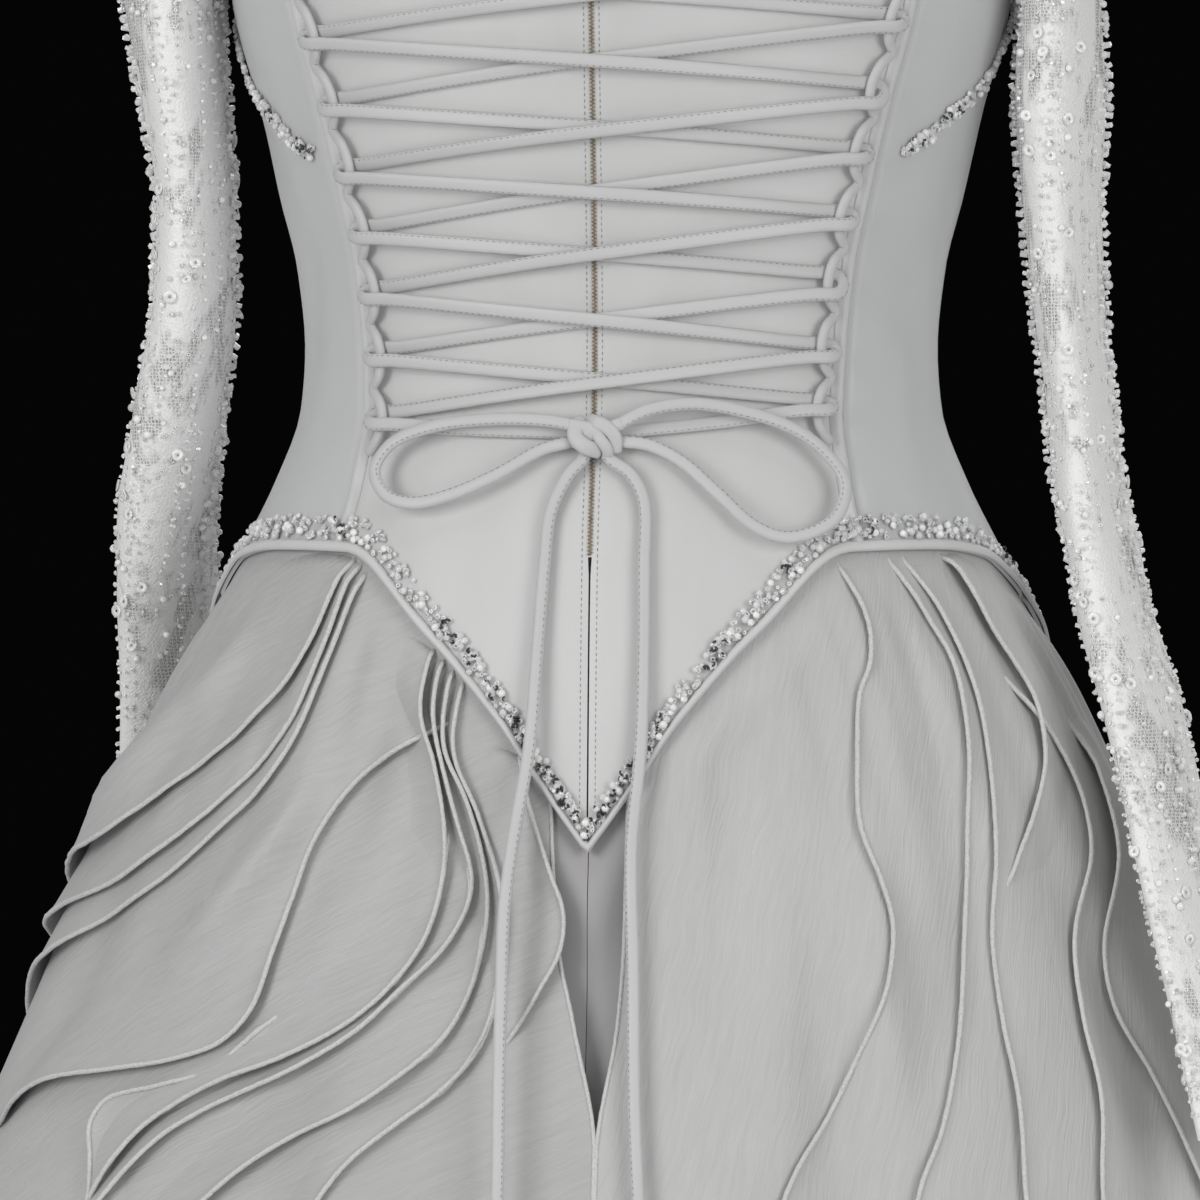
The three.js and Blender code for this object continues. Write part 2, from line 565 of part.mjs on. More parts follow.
// A flat cord that lies along the cloth: route points are angle, height and distance off the cloth.
function flatCord(route, width, thickness) {
  const curve = new THREE.CatmullRomCurve3(route, false, "centripetal");
  const stretches = route.length - 1;
  const stations = [route[0]];
  for (let i = 0; i < stretches; i += 1) {
    const parts = Math.ceil((Math.abs(route[i + 1].x - route[i].x) * 2) / LACE_STEP);
    for (let k = 1; k <= parts; k += 1) {
      const station = curve.getPoint((i + k / parts) / stretches);
      station.z = THREE.MathUtils.lerp(route[i].z, route[i + 1].z, k / parts);
      stations.push(station);
    }
  }
  const steps = stations.length - 1;
  const places = stations.map((at) => bodyPoint(at.x, at.y, at.z));
  const points = [];
  const side = new THREE.Vector3();
  const section = [[-1, -0.8], [-0.8, 1], [0.8, 1], [1, -0.8]];
  places.forEach((place, i) => {
    const at = stations[i];
    const round = bodyPoint(at.x + 1, at.y, at.z).sub(place);
    const up = bodyPoint(at.x, at.y + 1, at.z).sub(place);
    const out = new THREE.Vector3().crossVectors(round, up).normalize();
    const heading = places[Math.min(i + 1, steps)].clone().sub(places[Math.max(i - 1, 0)]).normalize();
    const next = new THREE.Vector3().crossVectors(heading, out);
    if (next.length() > 0.35) side.copy(next.dot(side) < 0 ? next.negate() : next).normalize();
    const level = new THREE.Vector3().crossVectors(side, heading).normalize();
    const edge = new THREE.Vector3().crossVectors(heading, level).normalize();
    for (const [across, rise] of section) {
      const corner = place.clone().addScaledVector(edge, (across * width) / 2);
      points.push(corner.addScaledVector(level, (rise * thickness) / 2));
    }
  });
  const count = section.length;
  const triangles = [];
  for (let i = 0; i < steps; i += 1) {
    for (let k = 0; k < count; k += 1) {
      const a = i * count + k;
      const b = i * count + ((k + 1) % count);
      triangles.push([a, b, b + count], [a, b + count, a + count]);
    }
  }
  for (let k = 1; k < count - 1; k += 1) {
    triangles.push([0, k + 1, k], [steps * count, steps * count + k, steps * count + k + 1]);
  }
  return solidFrom(points, triangles);
}

// The scalloped cord of loops along each lacing edge.
function addLaceLoops() {
  const perLoop = 5;
  const reaches = [0, 0.78, 1, 1, 0.78];
  for (const [side, sign] of [["left", -1], ["right", 1]]) {
    const route = [];
    for (let i = 0; i <= LOOP_COUNT * perLoop; i += 1) {
      const height = LOOP_BOTTOM[side] + (i / perLoop) * LOOP_PITCH;
      const reach = LOOP_REACH * reaches[i % perLoop];
      const angle = lacingAngle(height) - (1.8 + reach) / degreeLength(45, height);
      route.push(new THREE.Vector3(sign * angle, height, i % perLoop ? 4.6 : 2.5));
    }
    addPiece(`lace_loops_${side}`, flatCord(route, 3, 2), lacingCord);
  }
}

// One half of the lace, from the top bar down its row of turns to the knot.
function addLace(name, turns, crossing, finish) {
  const [low, loop, high] = [2.2, 4.6, 7];
  const route = [new THREE.Vector3(turns[0].side * 1.2, LACE_TOP, crossing)];
  turns.forEach((turn, i) => {
    const spot = (reach, height, out) => {
      const angle = lacingAngle(height) - reach / degreeLength(45, height);
      return new THREE.Vector3(turn.side * angle, height, out);
    };
    route.push(spot(14, turn.arrive, low), spot(4.4, turn.arrive - 0.3, low));
    route.push(spot(1.2, (turn.arrive + turn.leave) / 2, loop));
    route.push(spot(4.4, turn.leave + 0.3, high), spot(14, turn.leave, high));
    const next = turns[i + 1];
    if (next) route.push(new THREE.Vector3(0, (turn.leave + next.arrive) / 2, crossing));
  });
  const last = turns[turns.length - 1];
  route.push(new THREE.Vector3(last.side * 22, (last.leave + knot.z) / 2, low + 0.6));
  const end = knot.x + last.side * (knot.width / 2 + SEAM + 0.2);
  route.push(new THREE.Vector3(angleAt(end, knot.z), knot.z + 0.5, low));
  addPiece(name, flatCord(route, LACE_WIDTH, LACE_THICKNESS), finish);
}

// A place off the back of the gown, by its distance to the right, its height and its distance out.
function offTheBack([right, height, out]) {
  return bodyPoint(angleAt(right, height), height, out);
}

function roundSection(radius, sides) {
  const shape = new THREE.Shape();
  for (let i = 0; i < sides; i += 1) {
    const turn = (i / sides) * Math.PI * 2;
    const x = radius * Math.cos(turn);
    const y = radius * Math.sin(turn);
    if (i === 0) shape.moveTo(x, y);
    else shape.lineTo(x, y);
  }
  shape.closePath();
  return shape;
}

function addBow() {
  const half = { x: knot.width / 2, z: knot.height / 2 };
  const bevel = 1.6;
  const outline = new THREE.Shape();
  outline.moveTo(-half.x + bevel, -half.z + bevel);
  outline.lineTo(half.x - bevel, -half.z + bevel);
  outline.lineTo(half.x - bevel, half.z - bevel);
  outline.lineTo(-half.x + bevel, half.z - bevel);
  outline.closePath();
  const block = new THREE.ExtrudeGeometry(outline, {
    depth: knot.depth - 2 * bevel,
    bevelEnabled: true,
    bevelThickness: bevel,
    bevelSize: bevel,
    bevelSegments: 2,
    steps: 1,
  });
  block.rotateX(Math.PI / 2);
  const knotPiece = addPiece("bow_knot", block, lacingCord);
  const seat = bodyPoint(angleAt(knot.x, knot.z), knot.z - half.z, SEAM);
  knotPiece.position.set(knot.x, seat.y - bevel, knot.z);
  for (const [name, route] of Object.entries(bowRoutes)) {
    const curve = new THREE.CatmullRomCurve3(route.map(offTheBack), false, "centripetal");
    const steps = Math.round(curve.getLength() / (3 * CORD_DIAMETER));
    const cord = new THREE.ExtrudeGeometry(roundSection(CORD_DIAMETER / 2, 8), {
      extrudePath: curve,
      steps,
      bevelEnabled: false,
    });
    addPiece(name, cord, lacingCord);
  }
}

function addZip() {
  const teeth = (u, v, out) => {
    const height = ZIP_BOTTOM + (ZIP_TOP - ZIP_BOTTOM) * v;
    return bodyPoint(angleAt(TEETH_HALF_WIDTH * (2 * u - 1), height), height, out - 0.1);
  };
  addPiece("zip_teeth", wall({ point: teeth, columns: 1, rows: 12, thickness: 1.3 }), zipTape);

  const slider = { width: 6.4, height: 8, depth: 1.8, z: 180 };
  const ear = { width: 0.9, reach: 1.9 };
  const tab = { width: 3.8, height: 17, depth: 0.9 };
  const faceY = bodyPoint(0, slider.z).y - SEAM - slider.depth;
  const half = slider.width / 2;
  const inner = half - ear.width;
  const outline = new THREE.Shape();
  outline.moveTo(-half, 0);
  outline.lineTo(half, 0);
  outline.lineTo(half, -slider.depth - ear.reach);
  outline.lineTo(inner, -slider.depth - ear.reach);
  outline.lineTo(inner, -slider.depth);
  outline.lineTo(-inner, -slider.depth);
  outline.lineTo(-inner, -slider.depth - ear.reach);
  outline.lineTo(-half, -slider.depth - ear.reach);
  outline.closePath();
  const body = new THREE.ExtrudeGeometry(outline, { depth: slider.height, steps: 1, bevelEnabled: false });
  const sliderPiece = addPiece("zip_slider", body, zipMetal);
  sliderPiece.position.set(0, faceY + slider.depth, slider.z);
  const plate = new THREE.BoxGeometry(tab.width, tab.depth, tab.height);
  plate.translate(0, 0, -tab.height / 2 + tab.depth / 2);
  const tabPiece = addPiece("zip_pull_tab", plate, zipMetal);
  tabPiece.position.set(0, faceY - ear.reach / 2, slider.z + slider.height - tab.depth);
}

// How far the overskirt lies from the figure: just inside the bodice at its top, godets lower down.
function skirtOut(angle, height) {
  const below = basqueHeight(turnFromBack(angle)) - height;
  const tucked = -2.3 * (1 - THREE.MathUtils.smoothstep(below, 1, 22));
  const depth = THREE.MathUtils.smoothstep(-height, 300, 1000);
  return tucked + GODET_DEPTH * depth * Math.cos(GODETS * angle * radians);
}

function skirtPoint(angle, height, out) {
  return bodyPoint(angle, height, skirtOut(angle, height) + out);
}

// One skirt panel: its columns keep their share of the width at every height.
function skirtPanel({ start, end, columns, rows, thickness, under, hem }) {
  const point = (u, v, out) => {
    const fall = (1 - v) ** 1.7;
    let angle = start(-200) + (end(-200) - start(-200)) * u;
    let height = 0;
    for (let step = 0; step < 4; step += 1) {
      const top = basqueHeight(turnFromBack(angle)) + 5;
      height = top + (hem - top) * fall;
      angle = start(height) + (end(height) - start(height)) * u;
    }
    return skirtPoint(angle, height, under(height) + out);
  };
  return wall({ point, columns, rows, thickness });
}

function addSkirt() {
  const seam = (height) => SEAM / degreeLength(90, height);
  const overlay = { rows: 9, thickness: THIN_CLOTH, under: () => 0, hem: HEM_HEIGHT };
  const depthBelow = (height) => -THIN_CLOTH - 0.8 - 4.5 * THREE.MathUtils.smoothstep(-height, 130, 600);
  const lining = { rows: 9, thickness: THIN_CLOTH, under: depthBelow, hem: HEM_HEIGHT + 18 };
  const leftOf = (height) => angleAt(slitLeft(height), height);
  const rightOf = (height) => angleAt(slitRight(height), height);
  const rightSide = (height) => 90 - seam(height) / 2;
  const leftSide = (height) => -90 + seam(height) / 2;
  const frontStart = (height) => 90 + seam(height) / 2;
  const frontEnd = (height) => 270 - seam(height) / 2;
  const centreSeam = (height) => SEAM / degreeLength(0, height) / 2;
  const piece = (name, start, end, columns, kind, finish) =>
    addPiece(name, skirtPanel({ ...kind, start, end, columns }), finish);
  piece("overskirt_back_left", leftSide, leftOf, 12, overlay, organza);
  piece("overskirt_back_right", rightOf, rightSide, 12, overlay, organza);
  piece("overskirt_front", frontStart, frontEnd, 22, overlay, organza);
  piece("underskirt_back_left", leftSide, (height) => -centreSeam(height), 12, lining, liningCloth);
  piece("underskirt_back_right", centreSeam, rightSide, 12, lining, liningCloth);
  piece("underskirt_front", frontStart, frontEnd, 22, lining, liningCloth);
}

// The hem line of a flounce in angle and height, t from 0 to 1.
function flounceHem(row, t) {
  const pairs = (...list) => list.map(([angle, height]) => new THREE.Vector2(angle, height));
  const upper = new THREE.CubicBezierCurve(...pairs(row.from, row.leave, row.arrive, row.to));
  if (row.hemAngle === undefined) return upper.getPoint(t);
  if (t <= 0.5) return upper.getPoint(2 * t);
  const onward = [2 * row.to[0] - row.arrive[0], 2 * row.to[1] - row.arrive[1]];
  const lower = pairs(row.to, onward, [row.hemAngle, -820], [row.hemAngle, HEM_HEIGHT + 6]);
  return new THREE.CubicBezierCurve(...lower).getPoint(2 * t - 1);
}

function addFlounces() {
  for (const row of flounces) {
    const long = row.hemAngle !== undefined;
    const short = row.name.startsWith("fold");
    const columns = short ? 9 : long ? 18 : 12;
    const point = (u, v, out) => {
      const hem = flounceHem(row, u);
      const angle = hem.x + row.spread[0] * v;
      const ceiling = basqueHeight(turnFromBack(angle)) - 2.4 - 2 * (1 - v);
      const height = Math.max(Math.min(hem.y + row.spread[1] * v, ceiling), HEM_HEIGHT + 2);
      const standing = row.base + row.lift * (1 - v * v);
      const deep = 7 * THREE.MathUtils.smoothstep(-height, 330, 800);
      const start = THREE.MathUtils.smoothstep(basqueHeight(turnFromBack(angle)) - height, 0, 24);
      return skirtPoint(angle, height, 3 + (standing - 3) * (0.35 + 0.65 * start) + deep + out);
    };
    addPiece(row.name, wall({ point, columns, rows: 2, thickness: FLOUNCE_THICKNESS }), organza);
  }
}

addBodice();
addBasqueTrim();
addUpperTrims();
addYokes();
addSleeves();
addLaceLoops();
addLace("lace_over", laceTurns.over, 6.2, lacingCord);
addLace("lace_under", laceTurns.under, 2.6, lacingCord);
addBow();
addZip();
addSkirt();
addFlounces();
gown.children.forEach((piece) => {
  const plain = piece.geometry;
  plain.deleteAttribute("normal");
  plain.deleteAttribute("uv");
  piece.geometry = mergeVertices(plain, 1e-3);
  piece.geometry.computeVertexNormals();
});

export default gown;
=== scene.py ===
"""Looks of a laced ball gown: satin bodice, beaded net sleeves and a skirt of crinkled organza flounces.

Sizes in the tables are millimetres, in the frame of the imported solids: the origin is the centre of the
waist, +Z is up, the laced back faces -Y and +X is its right. Angles are degrees round the body, 0 at the
centre back, 90 at the right side and 180 at the centre front.
"""

import math

import bpy
import numpy as np
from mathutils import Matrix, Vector


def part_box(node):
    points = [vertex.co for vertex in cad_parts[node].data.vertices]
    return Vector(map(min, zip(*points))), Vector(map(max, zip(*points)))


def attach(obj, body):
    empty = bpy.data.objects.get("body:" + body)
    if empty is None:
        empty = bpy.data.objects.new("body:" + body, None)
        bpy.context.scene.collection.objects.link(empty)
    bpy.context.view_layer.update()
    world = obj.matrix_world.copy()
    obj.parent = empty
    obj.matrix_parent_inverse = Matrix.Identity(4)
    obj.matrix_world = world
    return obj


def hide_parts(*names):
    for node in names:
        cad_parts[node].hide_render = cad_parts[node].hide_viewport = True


bl_info = {
    "name": "Laced Ball Gown",
    "version": (1, 0, 0),
    "blender": (4, 5, 0),
    "location": "View3D > Sidebar > Gown",
    "description": "Builds the cloth, beads, lacing and finishes of a laced ball gown on its packed frame",
    "category": "Add Mesh",
}

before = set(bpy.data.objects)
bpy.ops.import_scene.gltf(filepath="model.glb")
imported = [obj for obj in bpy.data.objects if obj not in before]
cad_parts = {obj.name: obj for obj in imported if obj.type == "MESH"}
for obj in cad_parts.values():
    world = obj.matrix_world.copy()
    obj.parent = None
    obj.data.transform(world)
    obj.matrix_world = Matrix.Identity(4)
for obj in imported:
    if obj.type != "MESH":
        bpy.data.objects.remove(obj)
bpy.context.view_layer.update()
MM = 0.001
SIDES = (("left", -1), ("right", 1))

# Places and routes

SEAM = 0.3
HEM_HEIGHT = -1090.0
BINDING_WIDTH = 3.6
BEAD_BAND_WIDTH = 9.5
TRIM_WIDTH = 7.0
BONING_WIDTH = 6.5
ZIP_TOP = 189.0
ZIP_BOTTOM = -79.0
LOOP_PITCH = 24.4
LOOP_COUNT = 9
LOOP_REACH = 5.6
LOOP_BOTTOM = {"left": -40.0, "right": -36.0}
LACE_TOP = 152.0
# Widths and thicknesses of the rouleau cords
LACE_WIDTH, LACE_THICKNESS = 5.2, 2.1
LOOP_WIDTH, LOOP_THICKNESS = 4.0, 2.6
BOW_WIDTH, BOW_THICKNESS = 4.9, 3.3
# The zip's half tape, the pitch of its teeth, and the stitching beside it
TAPE_HALF_WIDTH = 2.6
TOOTH_PITCH = 1.4
ZIP_STITCH_AWAY = 2.9
ZIP_STITCH_PITCH = 2.3
ZIP_STITCH_BOTTOM = -182.0
LACE_STITCH_PITCH = 2.5
TUCK_DEPTH = 2.3
HEM_UNEVENNESS = 0.09
GODETS = 12
GODET_DEPTH = 15.0

# Height, half across, half out to the back and half out to the front.
FIGURE = np.array([
    (215, 153, 97, 102), (190, 152, 98, 110), (165, 151.5, 99, 117), (133, 148.5, 100, 121),
    (92, 138, 96, 112), (57, 130, 92, 100), (31, 123.5, 89.5, 92), (0, 120.5, 88, 88),
    (-22, 122, 90, 90), (-49, 131.5, 97, 97), (-76, 145, 104, 106), (-99, 157, 107, 114),
    (-133, 176, 110, 126), (-190, 202, 114, 146), (-228, 217, 121, 160), (-323, 259, 146, 200),
    (-600, 390, 290, 335), (-850, 500, 425, 455), (HEM_HEIGHT, 600, 560, 570),
], float)

# Angle and height of the bodice's lower edge, then of its upper edge.
BASQUE_EDGE = np.array([
    (0, -190), (4.3, -170), (11.2, -140), (22.3, -109), (41, -77), (60, -76), (76, -79),
    (84, -87), (100, -108), (140, -150), (180, -190),
], float)
TOP_EDGE = np.array([
    (0, 190), (67, 190), (78, 176), (90, 165), (102, 176), (113, 190), (131, 190), (150, 200),
    (165, 196), (180, 182),
], float)

# Height and angle of the lacing edge.
LACING_EDGE = np.array([
    (200, 51.6), (133, 50.6), (57, 47.6), (0, 46.3), (-33, 44), (-77, 41.5), (-200, 41.5),
], float)

# Height and half-width of the gap over the zip.
BACK_GAP = np.array([(200, 0.95), (-76, 0.9), (-82, 0.35), (-150, 0.3), (-190, 0.3)], float)

# Height and the slit's two edges, as distances to the right of the centre back.
SLIT = np.array([
    (-150, -15, 16), (-174, -14, 15), (-225, -10, 14.5), (-252, -4, 13), (-302, 5.6, 6.4),
    (HEM_HEIGHT, 5.6, 6.4),
], float)

# Angle and height along the beaded trim from the lacing strip to the front neckline.
UPPER_TRIM = np.array([
    (55.5, 73), (63, 80), (71, 90), (82, 101), (93, 124), (106, 155), (112, 181),
], float)

# Turn round the armhole, then the neck edge's half across, distance out and height.
YOKE_NECK = np.array([
    (22, 149.4, 17.5, 175), (45, 139.8, 38.2, 191.2), (62, 119.4, 61.2, 191), (80, 118.6, 64, 232),
    (100, 119, 61, 280), (125, 119, 50, 328), (150, 121, 28, 360), (180, 124, 0, 371),
], float)

# Sleeve sections: inner edge across and height, outer edge across and height, forward, half-depth,
# how much the body side is drawn in, and turn in plan.
SLEEVE_HEAD = [
    (152.8, 167, 182, 360, 0, 54, 12, 0), (155, 163, 199, 338, 0, 54, 7, 0),
    (155.8, 158, 207, 300, 0, 52, 2, 0), (155.8, 152, 207, 254, 0, 50, 0, 0),
    (155.2, 145, 202, 206, 0, 47, 0, 0), (154, 138, 195, 165, 0, 44, 0, 0),
]
SLEEVE_FALL = {
    "left": [
        (152.6, 128, 191, 133, 1, 42, 0, 0), (151.4, 95, 185, 95, 3, 40, 0, 0),
        (149.6, 57, 180, 57, 6, 38, 0, 0), (149.8, 19, 182, 19, 11, 37, 0, 0),
        (154.8, -19, 189, -19, 20, 36, 0, 4), (160, -49, 193, -49, 31, 35, 0, 10),
        (165, -80, 196, -80, 46, 34, 0, 18), (168, -118, 196, -118, 70, 32, 0, 28),
        (171, -160, 197, -160, 96, 31, 0, 36), (178, -210, 202, -210, 118, 30, 0, 40),
        (190, -255, 212, -255, 133, 29, 0, 42), (204, -296, 225, -296, 143, 29, 0, 42),
    ],
    "right": [
        (151.6, 128, 183, 133, 0, 42, 0, 0), (149, 95, 184.5, 95, 0, 40, 0, 0),
        (151.6, 57, 183, 57, 0, 38, 0, 0), (155.8, 19, 184.5, 19, -2, 37, 0, 0),
        (161.8, -19, 188.5, -19, -6, 36, 0, -2), (168, -57, 194, -57, -13, 35, 0, -6),
        (177, -95, 202, -95, -26, 33, 0, -12), (190, -133, 213, -133, -42, 31, 0, -18),
        (202, -171, 221, -171, -56, 30, 0, -22), (212, -209, 229, -209, -66, 29, 0, -24),
        (222, -247, 239, -247, -76, 28, 0, -26), (234, -296, 251, -296, -86, 28, 0, -28),
    ],
}

# Side, height where the lace reaches a loop and height where it leaves it, from the top down.
LACE_TURNS = {
    "over": [
        (1, 149, 143), (-1, 119, 114), (1, 99, 91), (-1, 69, 63.5), (1, 51, 45.6), (-1, 23, 18),
        (1, 1.5, -4), (-1, -24, -29),
    ],
    "under": [
        (-1, 145, 140), (1, 125, 119.5), (-1, 94, 89), (1, 75, 70), (-1, 46, 41), (1, 28, 19.5),
        (-1, 0, -5), (1, -19.5, -24),
    ],
}

# The bow: its knot, and routes as distance to the right of the centre back, height and distance out.
KNOT = {"x": 1.5, "z": -33.0, "width": 15.2, "height": 9.5, "depth": 9.2}
KNOT_TURNS = [
    ([(-2.8, -28.2, 4.6), (-5.4, -30.4, 8.2), (-5.2, -34.6, 9), (-1.6, -37.8, 8.8), (3.4, -39.6, 5)],
     6, 3),
    ([(0.6, -31.4, 7.4), (3.2, -34.6, 9), (5.8, -38.4, 7.6), (6.2, -41.2, 5)], 4.4, 2.6),
    ([(-1.6, -27.6, 4.6), (1.6, -28.6, 8.8), (5.8, -30.6, 9.4), (8.6, -34.4, 8.2), (8.6, -40, 5)],
     5.4, 2.6),
    ([(3, -31.4, 7), (6.4, -30.8, 7.9), (11.4, -28.8, 8.2)], 5.2, 3.6),
    ([(1, -31.4, 7), (-3.4, -30.4, 7.9), (-8.2, -29.4, 8.2)], 5.2, 3.6),
    ([(4, -36.4, 5), (8.2, -36.2, 5.2), (11.6, -35.4, 5.3)], 5.2, 3.4),
    ([(0, -36.4, 5), (-4.4, -36, 5.2), (-8.4, -35.2, 5.3)], 5.2, 3.4),
]
BOW_ROUTES = {
    "bow_loop_left": [
        (-6.7, -29.6, 8.2), (-16, -28, 8.4), (-35, -27.4, 8.6), (-59, -30.4, 9.4), (-73, -37, 10.5),
        (-78, -46.4, 11), (-74, -55.5, 10.5), (-65, -58.7, 9.5), (-53, -56.4, 8.2), (-35, -48.6, 7),
        (-18, -38.8, 5.8), (-6.7, -35.6, 5.3),
    ],
    "bow_loop_right": [
        (9.7, -29.6, 8.2), (19, -24.5, 8.4), (35, -21.7, 8.8), (52, -24.3, 9.6), (69, -30.5, 10.4),
        (80, -39.1, 11), (87.5, -50.5, 11), (86.5, -62.7, 10.5), (80, -69, 9.8), (69, -71.6, 9),
        (58.7, -67.3, 8), (45, -54.5, 7), (33, -43.6, 6.2), (21, -37.2, 5.6), (9.7, -35.6, 5.3),
    ],
    "bow_tail_left": [
        (-1.8, -39.2, 4.4), (-3.2, -42.4, 4.2), (-8.4, -48.5, 4), (-14.3, -61.6, 3.6),
        (-16.3, -81.3, 3.6), (-18.5, -115, 4.6), (-20.7, -151, 8), (-24.8, -182, 14),
        (-27.6, -209, 16), (-28, -241, 16.5), (-28, -273, 16.5), (-27.4, -310, 16), (-27, -350, 15),
    ],
    "bow_tail_right": [
        (5, -39.2, 4.4), (6.6, -42.2, 4.2), (14.5, -48, 4), (19.6, -57.8, 3.6), (20.4, -81.3, 3.6),
        (20.7, -116, 4), (20, -151, 5.4), (17, -188, 6.4), (18.4, -230, 6), (20.4, -284, 6.4),
        (23, -318, 7), (26, -352, 7.4),
    ],
}

# Flounces: name, then angle and height at places along the hem, the sewn edge's shift in angle and
# height, and how far the hem stands off the skirt where it starts and where it ends.
FLOUNCES = [
    ("flounce_left_1", [
        (-39.1, -78), (-40.1, -110), (-41.9, -125), (-46.9, -144), (-52.2, -156), (-59.3, -169),
        (-69.3, -184), (-83, -193), (-100, -205), (-120, -235), (-138, -275),
    ], (-22, 46), 4.6, 11),
    ("flounce_left_2", [
        (-37.6, -80), (-37.9, -115), (-39, -140), (-42.5, -158), (-47, -172), (-53.2, -186),
        (-62.5, -201), (-80, -212), (-100, -226), (-118, -256), (-132, -300),
    ], (-17, 40), 3.4, 7.6),
    ("flounce_left_3", [
        (-36, -84), (-36.6, -120), (-38, -148), (-41, -166), (-46, -182), (-52, -198), (-62, -214),
        (-76, -228), (-90, -241), (-108, -276), (-124, -330),
    ], (-14, 36), 2.3, 5),
    ("flounce_left_4", [
        (-16.5, -140), (-24.1, -153), (-27.9, -163), (-31.6, -184), (-32.9, -205), (-33.6, -224),
        (-34, -248), (-36.4, -260), (-42, -267), (-50, -271), (-61, -276), (-72, -290), (-84, -304),
    ], (-13, 34), 3, 4.6),
    ("flounce_left_5", [
        (-31, -250), (-34.3, -262), (-37, -271), (-43, -277), (-49.6, -283), (-50.4, -291),
        (-48.5, -305), (-46.9, -323), (-47, -345),
    ], (8, -20), 2.4, 2.8),
    ("flounce_left_6", [
        (-15.4, -182), (-15.1, -198), (-16.1, -221), (-18.8, -238), (-22.5, -252), (-29.1, -266),
        (-34.8, -274), (-39, -282), (-43, -293), (-46.6, -316), (-49, -338),
    ], (-7, 16), 4.2, 5.4),
    ("flounce_left_7", [
        (-13.2, -190), (-12, -205), (-14, -224), (-18.2, -241), (-21.8, -256), (-27.5, -270),
        (-32.6, -279), (-36.9, -287), (-40.7, -297), (-45.3, -321), (-50, -360),
    ], (-3.4, 8), 3.4, 4.4),
    ("flounce_left_8", [
        (-10.2, -212), (-10.6, -235), (-12.9, -257), (-17.2, -274), (-20.8, -285), (-25.9, -295),
        (-30, -306), (-34.2, -322), (-40, -352),
    ], (-5, 12), 3, 4.6),
    ("flounce_left_9", [
        (-8.6, -225), (-8.3, -240), (-9.6, -262), (-13, -279), (-16, -289), (-19.8, -304), (-22, -320),
        (-24, -346), (-27, -400), (-31, -560), (-35, -760), (-36, -1084),
    ], (-3.6, 8), 2.6, 8),
    ("fold_bundle_1", [
        (-21.3, -113), (-20.4, -137), (-17.8, -156), (-15.6, -178), (-15.1, -196), (-16.1, -221),
        (-18.8, -238), (-21.5, -249),
    ], (-6, 10), 4, 4.2),
    ("fold_bundle_2", [
        (-19.5, -117), (-18.7, -140), (-15.7, -165), (-14.1, -179), (-11.9, -203), (-14, -224),
        (-18.2, -241), (-20.4, -250),
    ], (-1.9, 4), 3.4, 3.4),
    ("fold_bundle_3", [
        (-17.9, -121), (-17.1, -148), (-13.5, -170), (-10.1, -205), (-10.6, -235), (-12.9, -257),
        (-16.4, -272),
    ], (-1.8, 4), 2.9, 3),
    ("fold_bundle_4", [
        (-16.3, -125), (-15.7, -151), (-12.1, -175), (-8.8, -203), (-8.3, -232), (-9.2, -257),
        (-12.4, -277), (-15.4, -287),
    ], (-1.8, 4), 2.5, 2.6),
    ("fold_bundle_5", [
        (-8.2, -152), (-5.6, -179), (-3.5, -198), (-2.2, -211), (-2.4, -226), (-4, -239), (-6.8, -258),
        (-8.6, -267),
    ], (-4.6, 5), 4.2, 3.4),
    ("flounce_right_1", [
        (38.2, -78), (39.6, -103), (37.9, -117), (34.8, -131), (32.3, -153), (30.6, -178), (31.6, -200),
        (31.9, -215), (29.9, -237), (26.8, -258), (22.4, -286), (18.4, -308), (16.2, -330),
        (13.6, -400), (12, -600), (12, -1084),
    ], (14, 16), 2.2, 9),
    ("flounce_right_2", [
        (48.3, -77), (50.7, -103), (51.6, -116), (50.2, -134), (44.6, -182), (40.1, -225), (36.2, -263),
        (32.7, -292), (29.4, -314), (26, -360), (24, -500), (24, -1084),
    ], (13, 14), 2.4, 9),
    ("flounce_right_3", [
        (51.6, -77), (53.5, -106), (53, -130), (51.2, -153), (47.2, -190), (44.1, -218), (42.3, -252),
        (41.6, -279), (39.2, -323), (38, -400), (39, -600), (40, -1084),
    ], (12, 12), 3.2, 9),
    ("flounce_right_4", [
        (61.5, -78), (62.6, -100), (64.2, -117), (64.6, -132), (62.8, -148), (58.6, -165), (51.7, -187),
        (46.7, -206), (44.6, -216),
    ], (13, 12), 4.4, 3.4),
    ("flounce_right_5", [
        (61.5, -124), (65.4, -144), (66.4, -164), (64.6, -183), (59.6, -206), (55.5, -228), (53, -252),
        (51.8, -279), (47.4, -323), (46.4, -380), (50, -520), (56, -760), (58, -1084),
    ], (13, 14), 3.6, 9),
    ("flounce_right_6", [
        (74, -140), (69, -186), (61, -222), (59, -248), (60.6, -271), (61.6, -292), (62, -330),
        (65, -440), (71, -680), (74, -1084),
    ], (13, 14), 5.4, 10),
    ("flounce_front_1", [
        (112, -116), (116, -200), (110, -300), (105, -400), (110, -520), (106, -800), (104, -1084),
    ], (-15, 12), 4, 10),
    ("flounce_front_2", [
        (136, -143), (141, -230), (134, -330), (127, -430), (132, -560), (129, -820), (128, -1084),
    ], (-15, 12), 4, 10),
    ("flounce_front_3", [
        (166, -176), (168, -260), (160, -350), (155, -450), (160, -590), (157, -830), (156, -1084),
    ], (-15, 12), 4, 10),
    ("flounce_front_4", [
        (-166, -176), (-170, -250), (-164, -360), (-159, -460), (-164, -600), (-161, -840),
        (-160, -1084),
    ], (15, 12), 4, 10),
]

# Folds are drawn fuller than their tables say, and most of all the skirt's ridges beside the bow's tails.
CREASE_SCALE = 1.5
RIDGE_LIFT = 1.1

